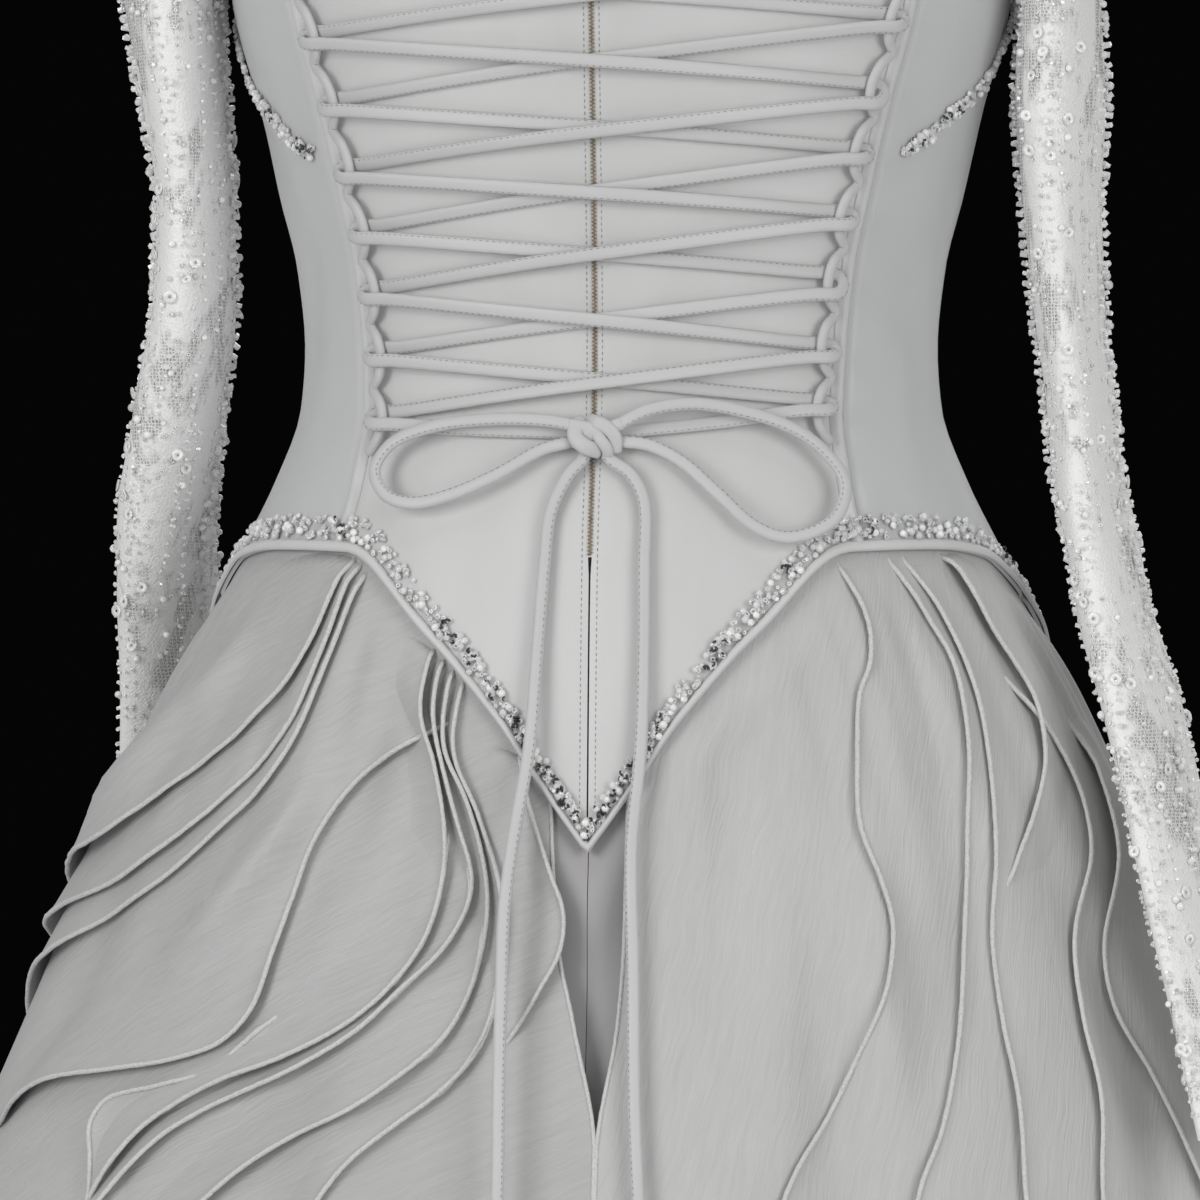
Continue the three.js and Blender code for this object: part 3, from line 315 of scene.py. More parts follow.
# Soft troughs and ridges: angle and height of both ends, half-width and depth (a trough is negative).
BODICE_CREASES = [
    (-22, -30, -12, -118, 13, -0.7), (-34, -52, -20, -96, 9, 0.5), (26, -62, 12, -122, 12, -0.8),
    (36, -44, 30, -84, 8, 0.5), (-64, 44, -78, -6, 12, -0.9), (-58, 4, -72, -40, 10, 0.7),
    (62, 30, 76, -24, 12, -0.8), (70, 6, 60, -46, 9, 0.6), (-84, 92, -70, 36, 14, -0.8),
    (84, 84, 72, 40, 13, -0.7), (-112, 60, -98, -20, 14, -0.9), (118, 54, 102, -26, 13, -0.8),
    (150, 20, 168, -90, 16, -0.9), (-158, 10, -172, -80, 15, -0.8), (-128, -30, -140, -96, 11, 0.7),
    (132, -36, 146, -104, 12, 0.7), (-8, 128, -26, 96, 10, -0.4), (14, 60, 30, 30, 9, -0.4),
]
SKIRT_CREASES = [
    (18.5, -124, 11.8, -250, 15, -3.2), (29.4, -100, 26.9, -236, 17, -2.8),
    (19.5, -184, 13.6, -350, 14, 3.2), (32, -150, 24, -330, 13, 2.8), (24, -240, 20, -470, 20, -4),
    (44, -120, 38, -260, 12, -2.4), (12, -260, 9, -520, 16, 3.6), (-39, -86, -66, -160, 14, -2.8),
    (-26, -130, -37, -250, 15, -3), (-31, -160, -50, -236, 11, 2.6), (-50, -110, -84, -176, 15, 3),
    (-20, -250, -26, -430, 18, 4), (-60, -210, -84, -330, 18, -4), (-34, -330, -40, -640, 26, -6),
    (58, -180, 54, -420, 18, -4), (78, -170, 80, -460, 20, 5), (96, -150, 100, -420, 20, -5),
    (118, -190, 124, -520, 24, 5), (142, -220, 148, -560, 26, -6), (172, -240, 174, -600, 26, 5),
    (-104, -160, -112, -440, 20, -5), (-126, -190, -136, -500, 22, 5), (-148, -230, -152, -560, 24, -6),
    (-176, -260, -178, -620, 24, -5), (34, -420, 36, -900, 40, -8), (66, -460, 68, -940, 42, 8),
    (-62, -450, -60, -920, 42, 8), (-96, -480, -98, -940, 40, -8),
]

# Curves and surfaces


def distances(points):
    """How far along a route each of its points lies."""
    return np.concatenate([[0], np.cumsum(np.linalg.norm(np.diff(points, axis=0), axis=1))])


def unit(vectors):
    return vectors / np.linalg.norm(vectors, axis=-1, keepdims=True)


def heading_of(line):
    """The direction of a route at each of its points."""
    return unit(np.gradient(line, axis=0))


def smooth_table(rows, value):
    """Reads one column of a table by its first column, along a smooth curve with no overshoot."""
    order = np.argsort(rows[:, 0])
    at, to = rows[order, 0], rows[order, value]
    rise = np.diff(to) / np.diff(at)
    both = rise[:-1] * rise[1:]
    total = np.where(both > 0, rise[:-1] + rise[1:], 1.0)
    slope = np.concatenate([rise[:1], np.where(both > 0, 2 * both / total, 0.0), rise[-1:]])

    def read(where):
        inside = np.clip(np.asarray(where, float), at[0], at[-1])
        i = np.clip(np.searchsorted(at, inside, side="right") - 1, 0, len(at) - 2)
        span = at[i + 1] - at[i]
        t = (inside - at[i]) / span
        before = to[i] * (1 + 2 * t) * (1 - t) ** 2 + slope[i] * span * t * (1 - t) ** 2
        after = to[i + 1] * t * t * (3 - 2 * t) + slope[i + 1] * span * t * t * (t - 1)
        return before + after

    return read


half_across = smooth_table(FIGURE, 1)
half_back = smooth_table(FIGURE, 2)
half_front = smooth_table(FIGURE, 3)
basque_height = smooth_table(BASQUE_EDGE, 1)
top_height = smooth_table(TOP_EDGE, 1)
lacing_angle = smooth_table(LACING_EDGE, 1)
half_gap = smooth_table(BACK_GAP, 1)
slit_left = smooth_table(SLIT, 1)
slit_right = smooth_table(SLIT, 2)


def smoothstep(value, low, high):
    t = np.clip((np.asarray(value, float) - low) / (high - low), 0, 1)
    return t * t * (3 - 2 * t)


def signed(angle):
    """The angle from the centre back, between -180 and 180 and above 0 on the right."""
    return (np.asarray(angle, float) + 180) % 360 - 180


def from_back(angle):
    """The angle from the centre back without its sign, from 0 to 180."""
    return np.abs(signed(angle))


def body(angle, height, out=0.0):
    """Points of the gown's surface in millimetres, moved out from it along its level normal."""
    turn = np.radians(np.asarray(angle, float))
    across = half_across(height)
    depth = np.where(np.cos(turn) >= 0, half_back(height), half_front(height))
    level_x, level_y = np.sin(turn) / across, -np.cos(turn) / depth
    size = np.hypot(level_x, level_y)
    x = across * np.sin(turn) + out * level_x / size
    y = -depth * np.cos(turn) + out * level_y / size
    return np.stack(np.broadcast_arrays(x, y, np.asarray(height, float)), axis=-1)


def angle_at(distance, height):
    """The angle that lies a distance in millimetres from the centre back, at a height."""
    return np.degrees(np.arcsin(np.asarray(distance, float) / half_across(height)))


def degree_length(angle, height):
    """Millimetres along the surface for one degree."""
    return np.linalg.norm(body(np.asarray(angle) + 1.0, height) - body(angle, height), axis=-1)


def surface_normal(angle, height):
    around = body(np.asarray(angle) + 0.5, height) - body(np.asarray(angle) - 0.5, height)
    up = body(angle, np.asarray(height) + 0.5) - body(angle, np.asarray(height) - 0.5)
    return unit(np.cross(around, up))


def creases(rows, angle, height):
    """Soft troughs and ridges, each along a line between two places."""
    total = np.zeros(np.broadcast(angle, height).shape)
    turn = signed(angle)
    for start, top, end, bottom, half_width, depth in rows:
        scale = math.pi / 180 * float(half_across((top + bottom) / 2))
        side, drop = (end - start) * scale, bottom - top
        length = math.hypot(side, drop)
        away, down = (turn - start) * scale, height - top
        along = (away * side + down * drop) / length
        past = (away * drop - down * side) / length
        bend = half_width * 0.35 * np.sin(along / length * 2.6)
        fade = smoothstep(along, -0.12 * length, 0.3 * length)
        fade = fade * (1 - smoothstep(along, 0.62 * length, 1.12 * length))
        total += depth * fade * np.exp(-(((past + bend) / half_width) ** 2))
    return total * CREASE_SCALE


def tucked_in(below):
    """How far a skirt is drawn in where it goes up under the bodice's edge."""
    return -TUCK_DEPTH * (1 - smoothstep(below, 1, 22))


def godets_out(angle, height):
    """The godets' waves, deeper towards the hem."""
    return GODET_DEPTH * smoothstep(-height, 300, 1000) * np.cos(np.radians(GODETS * angle))


def skirt_out(angle, height):
    """How far the overskirt lies from the figure: tucked into the bodice, gathers, folds and godets."""
    below = basque_height(from_back(angle)) - height
    free = smoothstep(below, 4, 34)
    turn = np.radians(angle)
    gathers = 0.55 * np.sin(turn * 61 + 1.3 * np.sin(turn * 9)) + 0.45 * np.sin(turn * 37 + 0.6)
    gathers = gathers * free * (1 - smoothstep(below, 30, 150))
    folds = creases(SKIRT_CREASES, angle, height)
    away = smoothstep(from_back(angle), 18, 32)
    folds = folds + RIDGE_LIFT * away * np.maximum(folds, 0)
    return tucked_in(below) + godets_out(angle, height) + gathers + free * folds


def skirt_point(angle, height, out):
    return body(angle, height, skirt_out(angle, height) + out)


def smooth_route(points, parts):
    """A rounded curve through a list of points, with the same number of parts in each stretch."""
    given = np.asarray(points, float)
    run = np.vstack([2 * given[0] - given[1], given, 2 * given[-1] - given[-2]])
    made = []
    for i in range(1, len(run) - 2):
        four = run[i - 1 : i + 3]
        knots = np.concatenate([[0], np.cumsum(np.linalg.norm(np.diff(four, axis=0), axis=1) ** 0.5)])
        t = np.linspace(knots[1], knots[2], parts, endpoint=False)[:, None]

        def blend(a, b, low, high):
            return a * (high - t) / (high - low) + b * (t - low) / (high - low)

        first = [blend(four[k], four[k + 1], knots[k], knots[k + 1]) for k in range(3)]
        second = [blend(first[k], first[k + 1], knots[k], knots[k + 2]) for k in range(2)]
        made.append(blend(second[0], second[1], knots[1], knots[2]))
    return np.vstack([*made, given[-1:]])


def even_route(points, step):
    """The same route with points a fixed step apart."""
    along = distances(points)
    count = max(2, int(round(along[-1] / step)) + 1)
    at = np.linspace(0, along[-1], count)
    return np.stack([np.interp(at, along, points[:, k]) for k in range(points.shape[1])], axis=1)


# Meshes


def mesh_from(name, verts, faces, uvs, slots=None):
    """A mesh object from arrays: verts in metres, faces all with the same number of corners."""
    mesh = bpy.data.meshes.new(name)
    corners = faces.shape[1]
    mesh.vertices.add(len(verts))
    mesh.vertices.foreach_set("co", np.ascontiguousarray(verts, np.float32).ravel())
    mesh.loops.add(faces.size)
    mesh.loops.foreach_set("vertex_index", np.ascontiguousarray(faces, np.int32).ravel())
    mesh.polygons.add(len(faces))
    mesh.polygons.foreach_set("loop_start", np.arange(0, faces.size, corners, dtype=np.int32))
    if slots is not None:
        mesh.polygons.foreach_set("material_index", np.ascontiguousarray(slots, np.int32))
    mesh.update(calc_edges=True)
    if uvs is not None:
        layer = mesh.uv_layers.new(name="UVMap")
        layer.data.foreach_set("uv", np.ascontiguousarray(uvs, np.float32).ravel())
    mesh.validate()
    piece = bpy.data.objects.new(name, mesh)
    bpy.context.scene.collection.objects.link(piece)
    return piece


def pick(piece):
    """Makes one piece the active and only selected object."""
    bpy.ops.object.select_all(action="DESELECT")
    piece.select_set(True)
    bpy.context.view_layer.objects.active = piece


def active_piece():
    return bpy.context.view_layer.objects.active


def open_mesh():
    bpy.ops.object.mode_set(mode="EDIT")


def close_mesh():
    bpy.ops.object.mode_set(mode="OBJECT")


def edit_all():
    """Opens the active mesh with all of it selected."""
    open_mesh()
    bpy.ops.mesh.select_all(action="SELECT")


def fix_place():
    """Writes the active object's place, turn and size into its mesh."""
    bpy.ops.object.transform_apply(location=True, rotation=True, scale=True)


def join_into(piece, others):
    """Joins other pieces into one."""
    pick(piece)
    for other in others:
        other.select_set(True)
    bpy.ops.object.join()


def smooth(piece, degrees):
    pick(piece)
    bpy.ops.object.shade_smooth_by_angle(angle=math.radians(degrees))


def apply_modifiers(piece):
    pick(piece)
    for modifier in list(piece.modifiers):
        bpy.ops.object.modifier_apply(modifier=modifier.name)


def grid_faces(columns, rows, ring):
    """Corners of a grid's faces, as vertex numbers and as places in the unwrapped grid."""
    across = columns if ring else columns + 1
    column, row = np.meshgrid(np.arange(columns), np.arange(rows))
    column, row = column.ravel(), row.ravel()
    corner_columns = np.stack([column, column + 1, column + 1, column], axis=1)
    corner_rows = np.stack([row, row, row + 1, row + 1], axis=1)
    return corner_rows * across + corner_columns % across, corner_rows, corner_columns


# Width, length and area of each sheet laid flat, in metres, and the least width and length that a sheet's
# size is raised to.
CUTS = {}
NARROWEST = 0.0101


def cloth(name, point, columns, rows, thickness, finish, ring=False, us=None, vs=None, cloth_uv=None,
          centre=None, depth_share=1.0):
    """A sheet of cloth on a smooth surface: point(u, v) gives its outer face in millimetres.

    depth_share spaces the weave by only a part of the distance from back to front."""
    u = np.linspace(0, 1, columns + 1) if us is None else us
    v = np.linspace(0, 1, rows + 1) if vs is None else vs
    across, up = np.meshgrid(u, v)
    outer = point(across, up)
    right = np.linalg.norm(np.diff(outer, axis=1), axis=2)
    rise = np.linalg.norm(np.diff(outer, axis=0), axis=2)
    if cloth_uv is None:
        seen = np.linalg.norm(np.diff(outer, axis=1) * (1, depth_share, 1), axis=2)
        at_u = np.hstack([np.zeros((len(v), 1)), np.cumsum(seen, axis=1)])
        at_v = np.vstack([np.zeros((1, len(u))), np.cumsum(rise, axis=0)])
        flat = np.stack([at_u - at_u.mean(axis=1, keepdims=True), at_v], axis=-1)
    else:
        flat = cloth_uv(across, up)
    faces, corner_rows, corner_columns = grid_faces(columns, rows, ring)
    verts = outer[:, :-1] if ring else outer
    a, b, c = (outer[corner_rows[:, k], corner_columns[:, k]] for k in (0, 1, 2))
    normal = np.cross(b - a, c - b)
    away = (a + c) / 2
    if centre is None:
        away[:, 2] = 0
    else:
        away = away - centre(across, up)[corner_rows[:, 0], corner_columns[:, 0]]
    uvs = flat[corner_rows, corner_columns]
    if (normal * away).sum() < 0:
        faces, uvs = faces[:, ::-1], uvs[:, ::-1]
    piece = mesh_from(name, verts.reshape(-1, 3) * MM, faces, uvs * MM)
    piece.data.materials.append(finish)
    wall = piece.modifiers.new("wall", "SOLIDIFY")
    wall.thickness = thickness
    wall.offset = -1
    apply_modifiers(piece)
    smooth(piece, 60)
    area = float(np.linalg.norm(normal, axis=1).sum()) * MM * MM
    width = float(right.sum(axis=1).max()) * MM
    length = float(rise.sum(axis=0).max()) * MM
    CUTS[name] = (width, length, area) if area > 0.34 * width * length else (area / length, length, area)
    return piece


def settle(piece, bodies="gown", replaces=()):
    """Fastens a piece to its body and hides the parts that it stands for."""
    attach(piece, bodies)
    if replaces:
        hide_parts(*replaces)
    return piece


def sheet_of(piece, with_pieces=()):
    """Reads the flat size that was measured when a sheet was cut, with its width and length raised to at
    least the narrowest width.
    """
    width, length, area = CUTS[piece.name]
    width, length = max(width, NARROWEST), max(length, NARROWEST)


def tube(name, centre, out, width, thickness, finish, sides, power, lumps=0.0, seed=1):
    """A cord along a route in millimetres: width lies on the cloth, thickness stands off it."""
    count = len(centre)
    heading = heading_of(centre)
    edge = np.cross(heading, out)
    for i in range(count):
        if np.linalg.norm(edge[i]) < 0.3 or (i and edge[i] @ edge[i - 1] < 0):
            edge[i] = edge[i - 1] - heading[i] * (edge[i - 1] @ heading[i]) if i else edge[i]
        edge[i] /= np.linalg.norm(edge[i])
    level = np.cross(edge, heading)
    turn = np.linspace(0, 2 * np.pi, sides, endpoint=False)
    wide = np.sign(np.cos(turn)) * np.abs(np.cos(turn)) ** power * width / 2
    high = np.sign(np.sin(turn)) * np.abs(np.sin(turn)) ** power * thickness / 2
    swell = np.ones((count, sides))
    if lumps:
        swell += lumps * np.random.default_rng(seed).uniform(-1, 1, (count, sides))
    swell[0] *= 0.72
    swell[-1] *= 0.72
    verts = centre[:, None, :] + (edge[:, None, :] * wide[None, :, None]
                                  + level[:, None, :] * high[None, :, None]) * swell[:, :, None]
    along = distances(centre)
    faces, corner_rows, corner_columns = grid_faces(sides, count - 1, True)
    around = (width + thickness) * 1.57 / sides
    uvs = np.stack([corner_columns * around, along[corner_rows]], axis=-1)
    ends = [centre[0] - heading[0] * thickness * 0.16, centre[-1] + heading[-1] * thickness * 0.16]
    verts = np.vstack([verts.reshape(-1, 3), ends])
    first, last = len(verts) - 2, len(verts) - 1
    ring = np.arange(sides)
    following = (ring + 1) % sides
    base = (count - 1) * sides
    caps = np.vstack([
        np.stack([np.full(sides, first), following, ring], axis=1),
        np.stack([np.full(sides, last), base + ring, base + following], axis=1),
    ])
    quads = np.vstack([faces[:, [0, 1, 2]], faces[:, [0, 2, 3]]])
    quad_uvs = np.vstack([uvs[:, [0, 1, 2]], uvs[:, [0, 2, 3]]])
    triangles = np.vstack([quads, caps])
    cap_uvs = np.zeros((len(caps), 3, 2))
    cap_uvs[:, :, 1] = np.where(np.arange(len(caps)) < sides, 0, along[-1])[:, None]
    all_uvs = np.vstack([quad_uvs, cap_uvs])
    a, b, c = (verts[triangles[:, k]] for k in range(3))
    if np.einsum("ij,ij->i", a, np.cross(b, c)).sum() < 0:
        triangles, all_uvs = triangles[:, ::-1], all_uvs[:, ::-1]
    piece = mesh_from(name, verts * MM, triangles, all_uvs * MM)
    piece.data.materials.append(finish)
    piece.data.polygons.foreach_set("use_smooth", np.ones(len(triangles), bool))
    return piece, edge, level


# Small things that repeat: each is modelled once, then copied on to its places

PATTERNS = {}
SEQUIN_THICKNESS = 0.07


def keep_pattern(kind):
    """Takes the selected object's mesh as the pattern of a kind of bead and removes the object."""
    source = active_piece()
    pick(source)
    edit_all()
    bpy.ops.mesh.quads_convert_to_tris()
    close_mesh()
    fix_place()
    mesh = source.data
    verts = np.array([v.co for v in mesh.vertices], float)
    faces = np.array([p.vertices for p in mesh.polygons], int)
    PATTERNS[kind] = (verts, faces)
    bpy.data.objects.remove(source)


def select_verts(test):
    """In edit mode: selects the vertices of the active mesh that pass a test on their place."""
    mesh = active_piece().data
    bpy.ops.mesh.select_all(action="DESELECT")
    close_mesh()
    for vert in mesh.vertices:
        vert.select = test(vert.co)
    open_mesh()


def select_faces(test):
    """In edit mode: selects the faces of the active mesh whose normals pass a test."""
    bpy.ops.mesh.select_mode(type="FACE")
    bpy.ops.mesh.select_all(action="DESELECT")
    close_mesh()
    for face in active_piece().data.polygons:
        face.select = test(face.normal)
    open_mesh()


def resize_all(value):
    """Stretches the whole of the active mesh."""
    edit_all()
    bpy.ops.transform.resize(value=value)
    close_mesh()


def thicken_active(thickness):
    piece = active_piece()
    piece.modifiers.new("rim", "SOLIDIFY").thickness = thickness
    bpy.ops.object.modifier_apply(modifier="rim")


def make_patterns():
    """Models one of each small thing, about one unit across."""
    bpy.ops.object.select_all(action="DESELECT")
    # A pearl, one unit across, with a dimple at each end of its hole
    bpy.ops.mesh.primitive_ico_sphere_add(subdivisions=2, radius=0.5)
    open_mesh()
    select_verts(lambda co: abs(co.z) > 0.49)
    bpy.ops.transform.resize(value=(1, 1, 0.82))
    close_mesh()
    keep_pattern("pearl")
    # A rocaille: a short thick ring
    bpy.ops.mesh.primitive_torus_add(
        major_segments=6, minor_segments=4, major_radius=0.31, minor_radius=0.19)
    resize_all((1, 1, 1.45))
    keep_pattern("rocaille")
    # A cut bead: a five-sided length with its ends drawn in round the hole
    bpy.ops.mesh.primitive_cylinder_add(vertices=5, radius=0.42, depth=1.0, end_fill_type="NGON")
    open_mesh()
    select_faces(lambda normal: abs(normal.z) > 0.9)
    bpy.ops.mesh.inset(thickness=0.14, depth=-0.12)
    bpy.ops.mesh.select_mode(type="VERT")
    close_mesh()
    keep_pattern("cut")
    # A faceted crystal with a flat table
    bpy.ops.mesh.primitive_ico_sphere_add(subdivisions=1, radius=0.54)
    edit_all()
    bpy.ops.mesh.bisect(plane_co=(0, 0, 0.36), plane_no=(0, 0, 1), use_fill=True, clear_outer=True)
    close_mesh()
    keep_pattern("crystal")
    # A sequin: a dished ring
    bpy.ops.mesh.primitive_circle_add(vertices=10, radius=0.5, fill_type="NGON")
    edit_all()
    bpy.ops.mesh.inset(thickness=0.36, depth=-0.06)
    bpy.ops.mesh.delete(type="ONLY_FACE")
    close_mesh()
    thicken_active(SEQUIN_THICKNESS)
    keep_pattern("sequin")
    # A chip of dark foil: part of a curled sequin
    bpy.ops.mesh.primitive_circle_add(vertices=12, radius=0.5, fill_type="NGON")
    edit_all()
    bpy.ops.mesh.inset(thickness=0.3, depth=0.12)
    bpy.ops.mesh.delete(type="ONLY_FACE")
    bpy.ops.mesh.select_all(action="SELECT")
    bpy.ops.mesh.bisect(plane_co=(0, -0.05, 0), plane_no=(0, 1, 0), clear_inner=True)
    close_mesh()
    thicken_active(SEQUIN_THICKNESS)
    keep_pattern("chip")
    # A stitch: a short rounded length of thread
    bpy.ops.mesh.primitive_ico_sphere_add(subdivisions=1, radius=0.5)
    resize_all((0.45, 0.45, 1.0))
    keep_pattern("stitch")
    # A zip tooth: a small block with its corners taken off
    bpy.ops.mesh.primitive_cube_add(size=1.0)
    edit_all()
    bpy.ops.mesh.bevel(offset=0.2, segments=1, affect="VERTICES")
    close_mesh()
    keep_pattern("tooth")


FLAT_KINDS = ("crystal", "cut", "tooth")


def copies(groups):
    """Arrays for many small things: each group is kind, places, out directions, along directions, sizes
    (a number, a list or x, y, z) and the slot of its finish."""
    verts, faces, slots, flats = [], [], [], []
    start = 0
    for kind, places, out, along, size, slot in groups:
        places = np.asarray(places, float).reshape(-1, 3)
        if not len(places):
            continue
        pattern, triangles = PATTERNS[kind]
        up = unit(np.broadcast_to(out, places.shape).astype(float))
        run = np.broadcast_to(along, places.shape).astype(float)
        run = run - up * (run * up).sum(axis=1, keepdims=True)
        run /= np.maximum(np.linalg.norm(run, axis=1, keepdims=True), 1e-9)
        side = np.cross(run, up)
        sizes = np.asarray(size, float)
        if sizes.ndim == 0:
            sizes = np.full((len(places), 3), sizes)
        elif sizes.ndim == 1 and len(sizes) == len(places):
            sizes = np.repeat(sizes[:, None], 3, axis=1)
        else:
            sizes = np.broadcast_to(sizes, (len(places), 3))
        local = pattern[None] * sizes[:, None, :]
        # the pattern's x runs across, y runs along and z stands off the cloth
        made = (places[:, None] + side[:, None] * local[:, :, :1] + run[:, None] * local[:, :, 1:2]
                + up[:, None] * local[:, :, 2:])
        verts.append(made.reshape(-1, 3))
        shift = start + np.arange(len(places))[:, None, None] * len(pattern)
        faces.append((triangles[None] + shift).reshape(-1, 3))
        slots.append(np.full(len(places) * len(triangles), slot))
        flats.append(np.full(len(places) * len(triangles), kind not in FLAT_KINDS))
        start += len(places) * len(pattern)
    return np.vstack(verts), np.vstack(faces), np.concatenate(slots), np.concatenate(flats)


def scatter(name, groups, finishes):
    """One joined mesh of many small things."""
    verts, faces, slots, smooth_faces = copies(groups)
    piece = mesh_from(name, verts * MM, faces, None, slots)
    piece.data.polygons.foreach_set("use_smooth", smooth_faces)
    for finish in finishes:
        piece.data.materials.append(finish)
    return piece


# Materials


class Nodes:
    """Adds and joins the nodes of one tree."""

    def __init__(self, tree):
        self.tree = tree

    def add(self, kind, operation=None, **values):
        node = self.tree.nodes.new(kind)
        if operation:
            node.operation = operation
        for name, value in values.items():
            setattr(node, name, value)
        return node

    def join(self, source, target):
        self.tree.links.new(source, target)

    def give(self, values, sockets):
        """Sets each socket to a number, or joins it to another node's output."""
        for value, socket in zip(values, sockets):
            if isinstance(value, (int, float)):
                socket.default_value = value
            else:
                self.join(value, socket)

    def math(self, operation, first, second):
        node = self.add("ShaderNodeMath", operation)
        self.give((first, second), node.inputs)
        return node.outputs[0]

    def spread(self, value, low, high, to_low=0.0, to_high=1.0):
        node = self.add("ShaderNodeMapRange")
        self.give((value, low, high, to_low, to_high), node.inputs)
        return node.outputs[0]

    def stretched(self, vector, scale, detail, roughness=0.5):
        """Noise with its own number of waves to the metre along each axis."""
        node = self.add("ShaderNodeMapping")
        node.vector_type = "TEXTURE"
        self.join(vector, node.inputs["Vector"])
        node.inputs["Scale"].default_value = tuple(1.0 / s for s in scale)
        return self.noise(node.outputs[0], 1.0, detail, roughness)

    def noise(self, vector, scale, detail, roughness=0.5):
        node = self.add("ShaderNodeTexNoise")
        self.join(vector, node.inputs["Vector"])
        node.inputs["Scale"].default_value = scale
        node.inputs["Detail"].default_value = detail
        node.inputs["Roughness"].default_value = roughness
        return node.outputs[0]


def new_group(name, inputs, outputs):
    """A shader node group with named sockets: (name, type, default) in and (name, type) out."""
    group = bpy.data.node_groups.new(name, "ShaderNodeTree")
    for title, kind, default in inputs:
        socket = group.interface.new_socket(name=title, in_out="INPUT", socket_type=kind)
        if default is not None:
            socket.default_value = default
    for title, kind in outputs:
        group.interface.new_socket(name=title, in_out="OUTPUT", socket_type=kind)
    made = Nodes(group)
    start = made.add("NodeGroupInput")
    end = made.add("NodeGroupOutput")
    return group, made, start.outputs, end.inputs


def crinkle_group():
    """Fine lengthwise creases of crinkled organza, with broader cloudy bands and small glints."""
    group, made, given, out = new_group(
        "crinkle",
        [("Vector", "NodeSocketVector", None), ("Turn", "NodeSocketFloat", 0.0)],
        [("Height", "NodeSocketFloat"), ("Streak", "NodeSocketFloat"), ("Glint", "NodeSocketFloat")],
    )
    turned = made.add("ShaderNodeVectorRotate")
    turned.rotation_type = "Z_AXIS"
    made.join(given["Vector"], turned.inputs["Vector"])
    made.join(given["Turn"], turned.inputs["Angle"])
    drift = made.noise(turned.outputs[0], 34.0, 2.0)
    bent = made.add("ShaderNodeVectorMath", "ADD")
    push = made.add("ShaderNodeCombineXYZ")
    made.join(made.spread(drift, 0, 1, -0.004, 0.004), push.inputs["Y"])
    made.join(turned.outputs[0], bent.inputs[0])
    made.join(push.outputs[0], bent.inputs[1])
    fine = made.stretched(bent.outputs[0], (60, 900, 1), 2.0)
    middle = made.stretched(bent.outputs[0], (26, 330, 1), 2.0)
    broad = made.stretched(bent.outputs[0], (7, 16, 1), 2.0)
    height = made.math("ADD", made.math("MULTIPLY", fine, 0.6), made.math("MULTIPLY", middle, 0.4))
    made.join(height, out["Height"])
    mixed = made.math("ADD", made.math("MULTIPLY", height, 0.62), made.math("MULTIPLY", broad, 0.38))
    made.join(made.spread(mixed, 0.36, 0.64), out["Streak"])
    sparks = made.stretched(bent.outputs[0], (900, 1500, 1), 1.0)
    patches = made.spread(broad, 0.5, 0.62)
    made.join(made.math("MULTIPLY", made.spread(sparks, 0.68, 0.74), patches), out["Glint"])
    return group


def grain_group():
    """The grain of a woven cloth: crossing threads and a soft cloudiness."""
    group, made, given, out = new_group(
        "woven_grain",
        [("Vector", "NodeSocketVector", None)],
        [("Height", "NodeSocketFloat"), ("Cloud", "NodeSocketFloat")],
    )
    warp = made.stretched(given["Vector"], (320, 1900, 1), 2.0)
    weft = made.stretched(given["Vector"], (1900, 320, 1), 2.0)
    made.join(made.math("MULTIPLY", made.math("ADD", warp, weft), 0.5), out["Height"])
    cloud = made.stretched(given["Vector"], (11, 7, 1), 3.0)
    made.join(made.spread(cloud, 0.3, 0.7), out["Cloud"])
    return group


def net_group():
    """Fine net with small round meshes, and embroidered clouds and sprigs on it."""
    group, made, given, out = new_group(
        "lace_net",
        [("Vector", "NodeSocketVector", None), ("Pitch", "NodeSocketFloat", 0.0013)],
        [("Thread", "NodeSocketFloat"), ("Lace", "NodeSocketFloat"), ("Height", "NodeSocketFloat")],
    )
    cells = made.add("ShaderNodeTexVoronoi", voronoi_dimensions="3D", feature="DISTANCE_TO_EDGE")
    made.join(given["Vector"], cells.inputs["Vector"])
    made.join(made.math("DIVIDE", 1.0, given["Pitch"]), cells.inputs["Scale"])
    cells.inputs["Randomness"].default_value = 0.32
    made.join(made.spread(cells.outputs["Distance"], 0.07, 0.2, 1.0, 0.0), out["Thread"])
    clouds = made.stretched(given["Vector"], (36, 36, 17), 3.0, 0.6)
    sprigs = made.stretched(given["Vector"], (150, 150, 90), 3.0, 0.6)
    cover = made.math("ADD", made.math("MULTIPLY", clouds, 0.72), made.math("MULTIPLY", sprigs, 0.28))
    lace = made.spread(cover, 0.41, 0.48)
    made.join(lace, out["Lace"])
    loops = made.stretched(given["Vector"], (900, 900, 900), 2.0)
    made.join(made.math("MULTIPLY", loops, lace), out["Height"])
    return group


GROUPS = {}


def use_group(made, name, vector):
    node = made.add("ShaderNodeGroup")
    node.node_tree = GROUPS[name]
    made.join(vector, node.inputs["Vector"])
    return node


def new_material(name, roughness, metallic=0.0, **sockets):
    material = bpy.data.materials.new(name)
    material.use_nodes = True
    made = Nodes(material.node_tree)
    shader = material.node_tree.nodes["Principled BSDF"]
    shader.inputs["Roughness"].default_value = roughness
    shader.inputs["Metallic"].default_value = metallic
    for title, value in sockets.items():
        shader.inputs[title.replace("_", " ")].default_value = value
    return material, made, shader


def mix_colour(made, share, first, second, target):
    node = made.add("ShaderNodeMix", data_type="RGBA")
    made.join(share, node.inputs["Factor"])
    node.inputs["A"].default_value = (*first, 1)
    node.inputs["B"].default_value = (*second, 1)
    made.join(node.outputs["Result"], target)


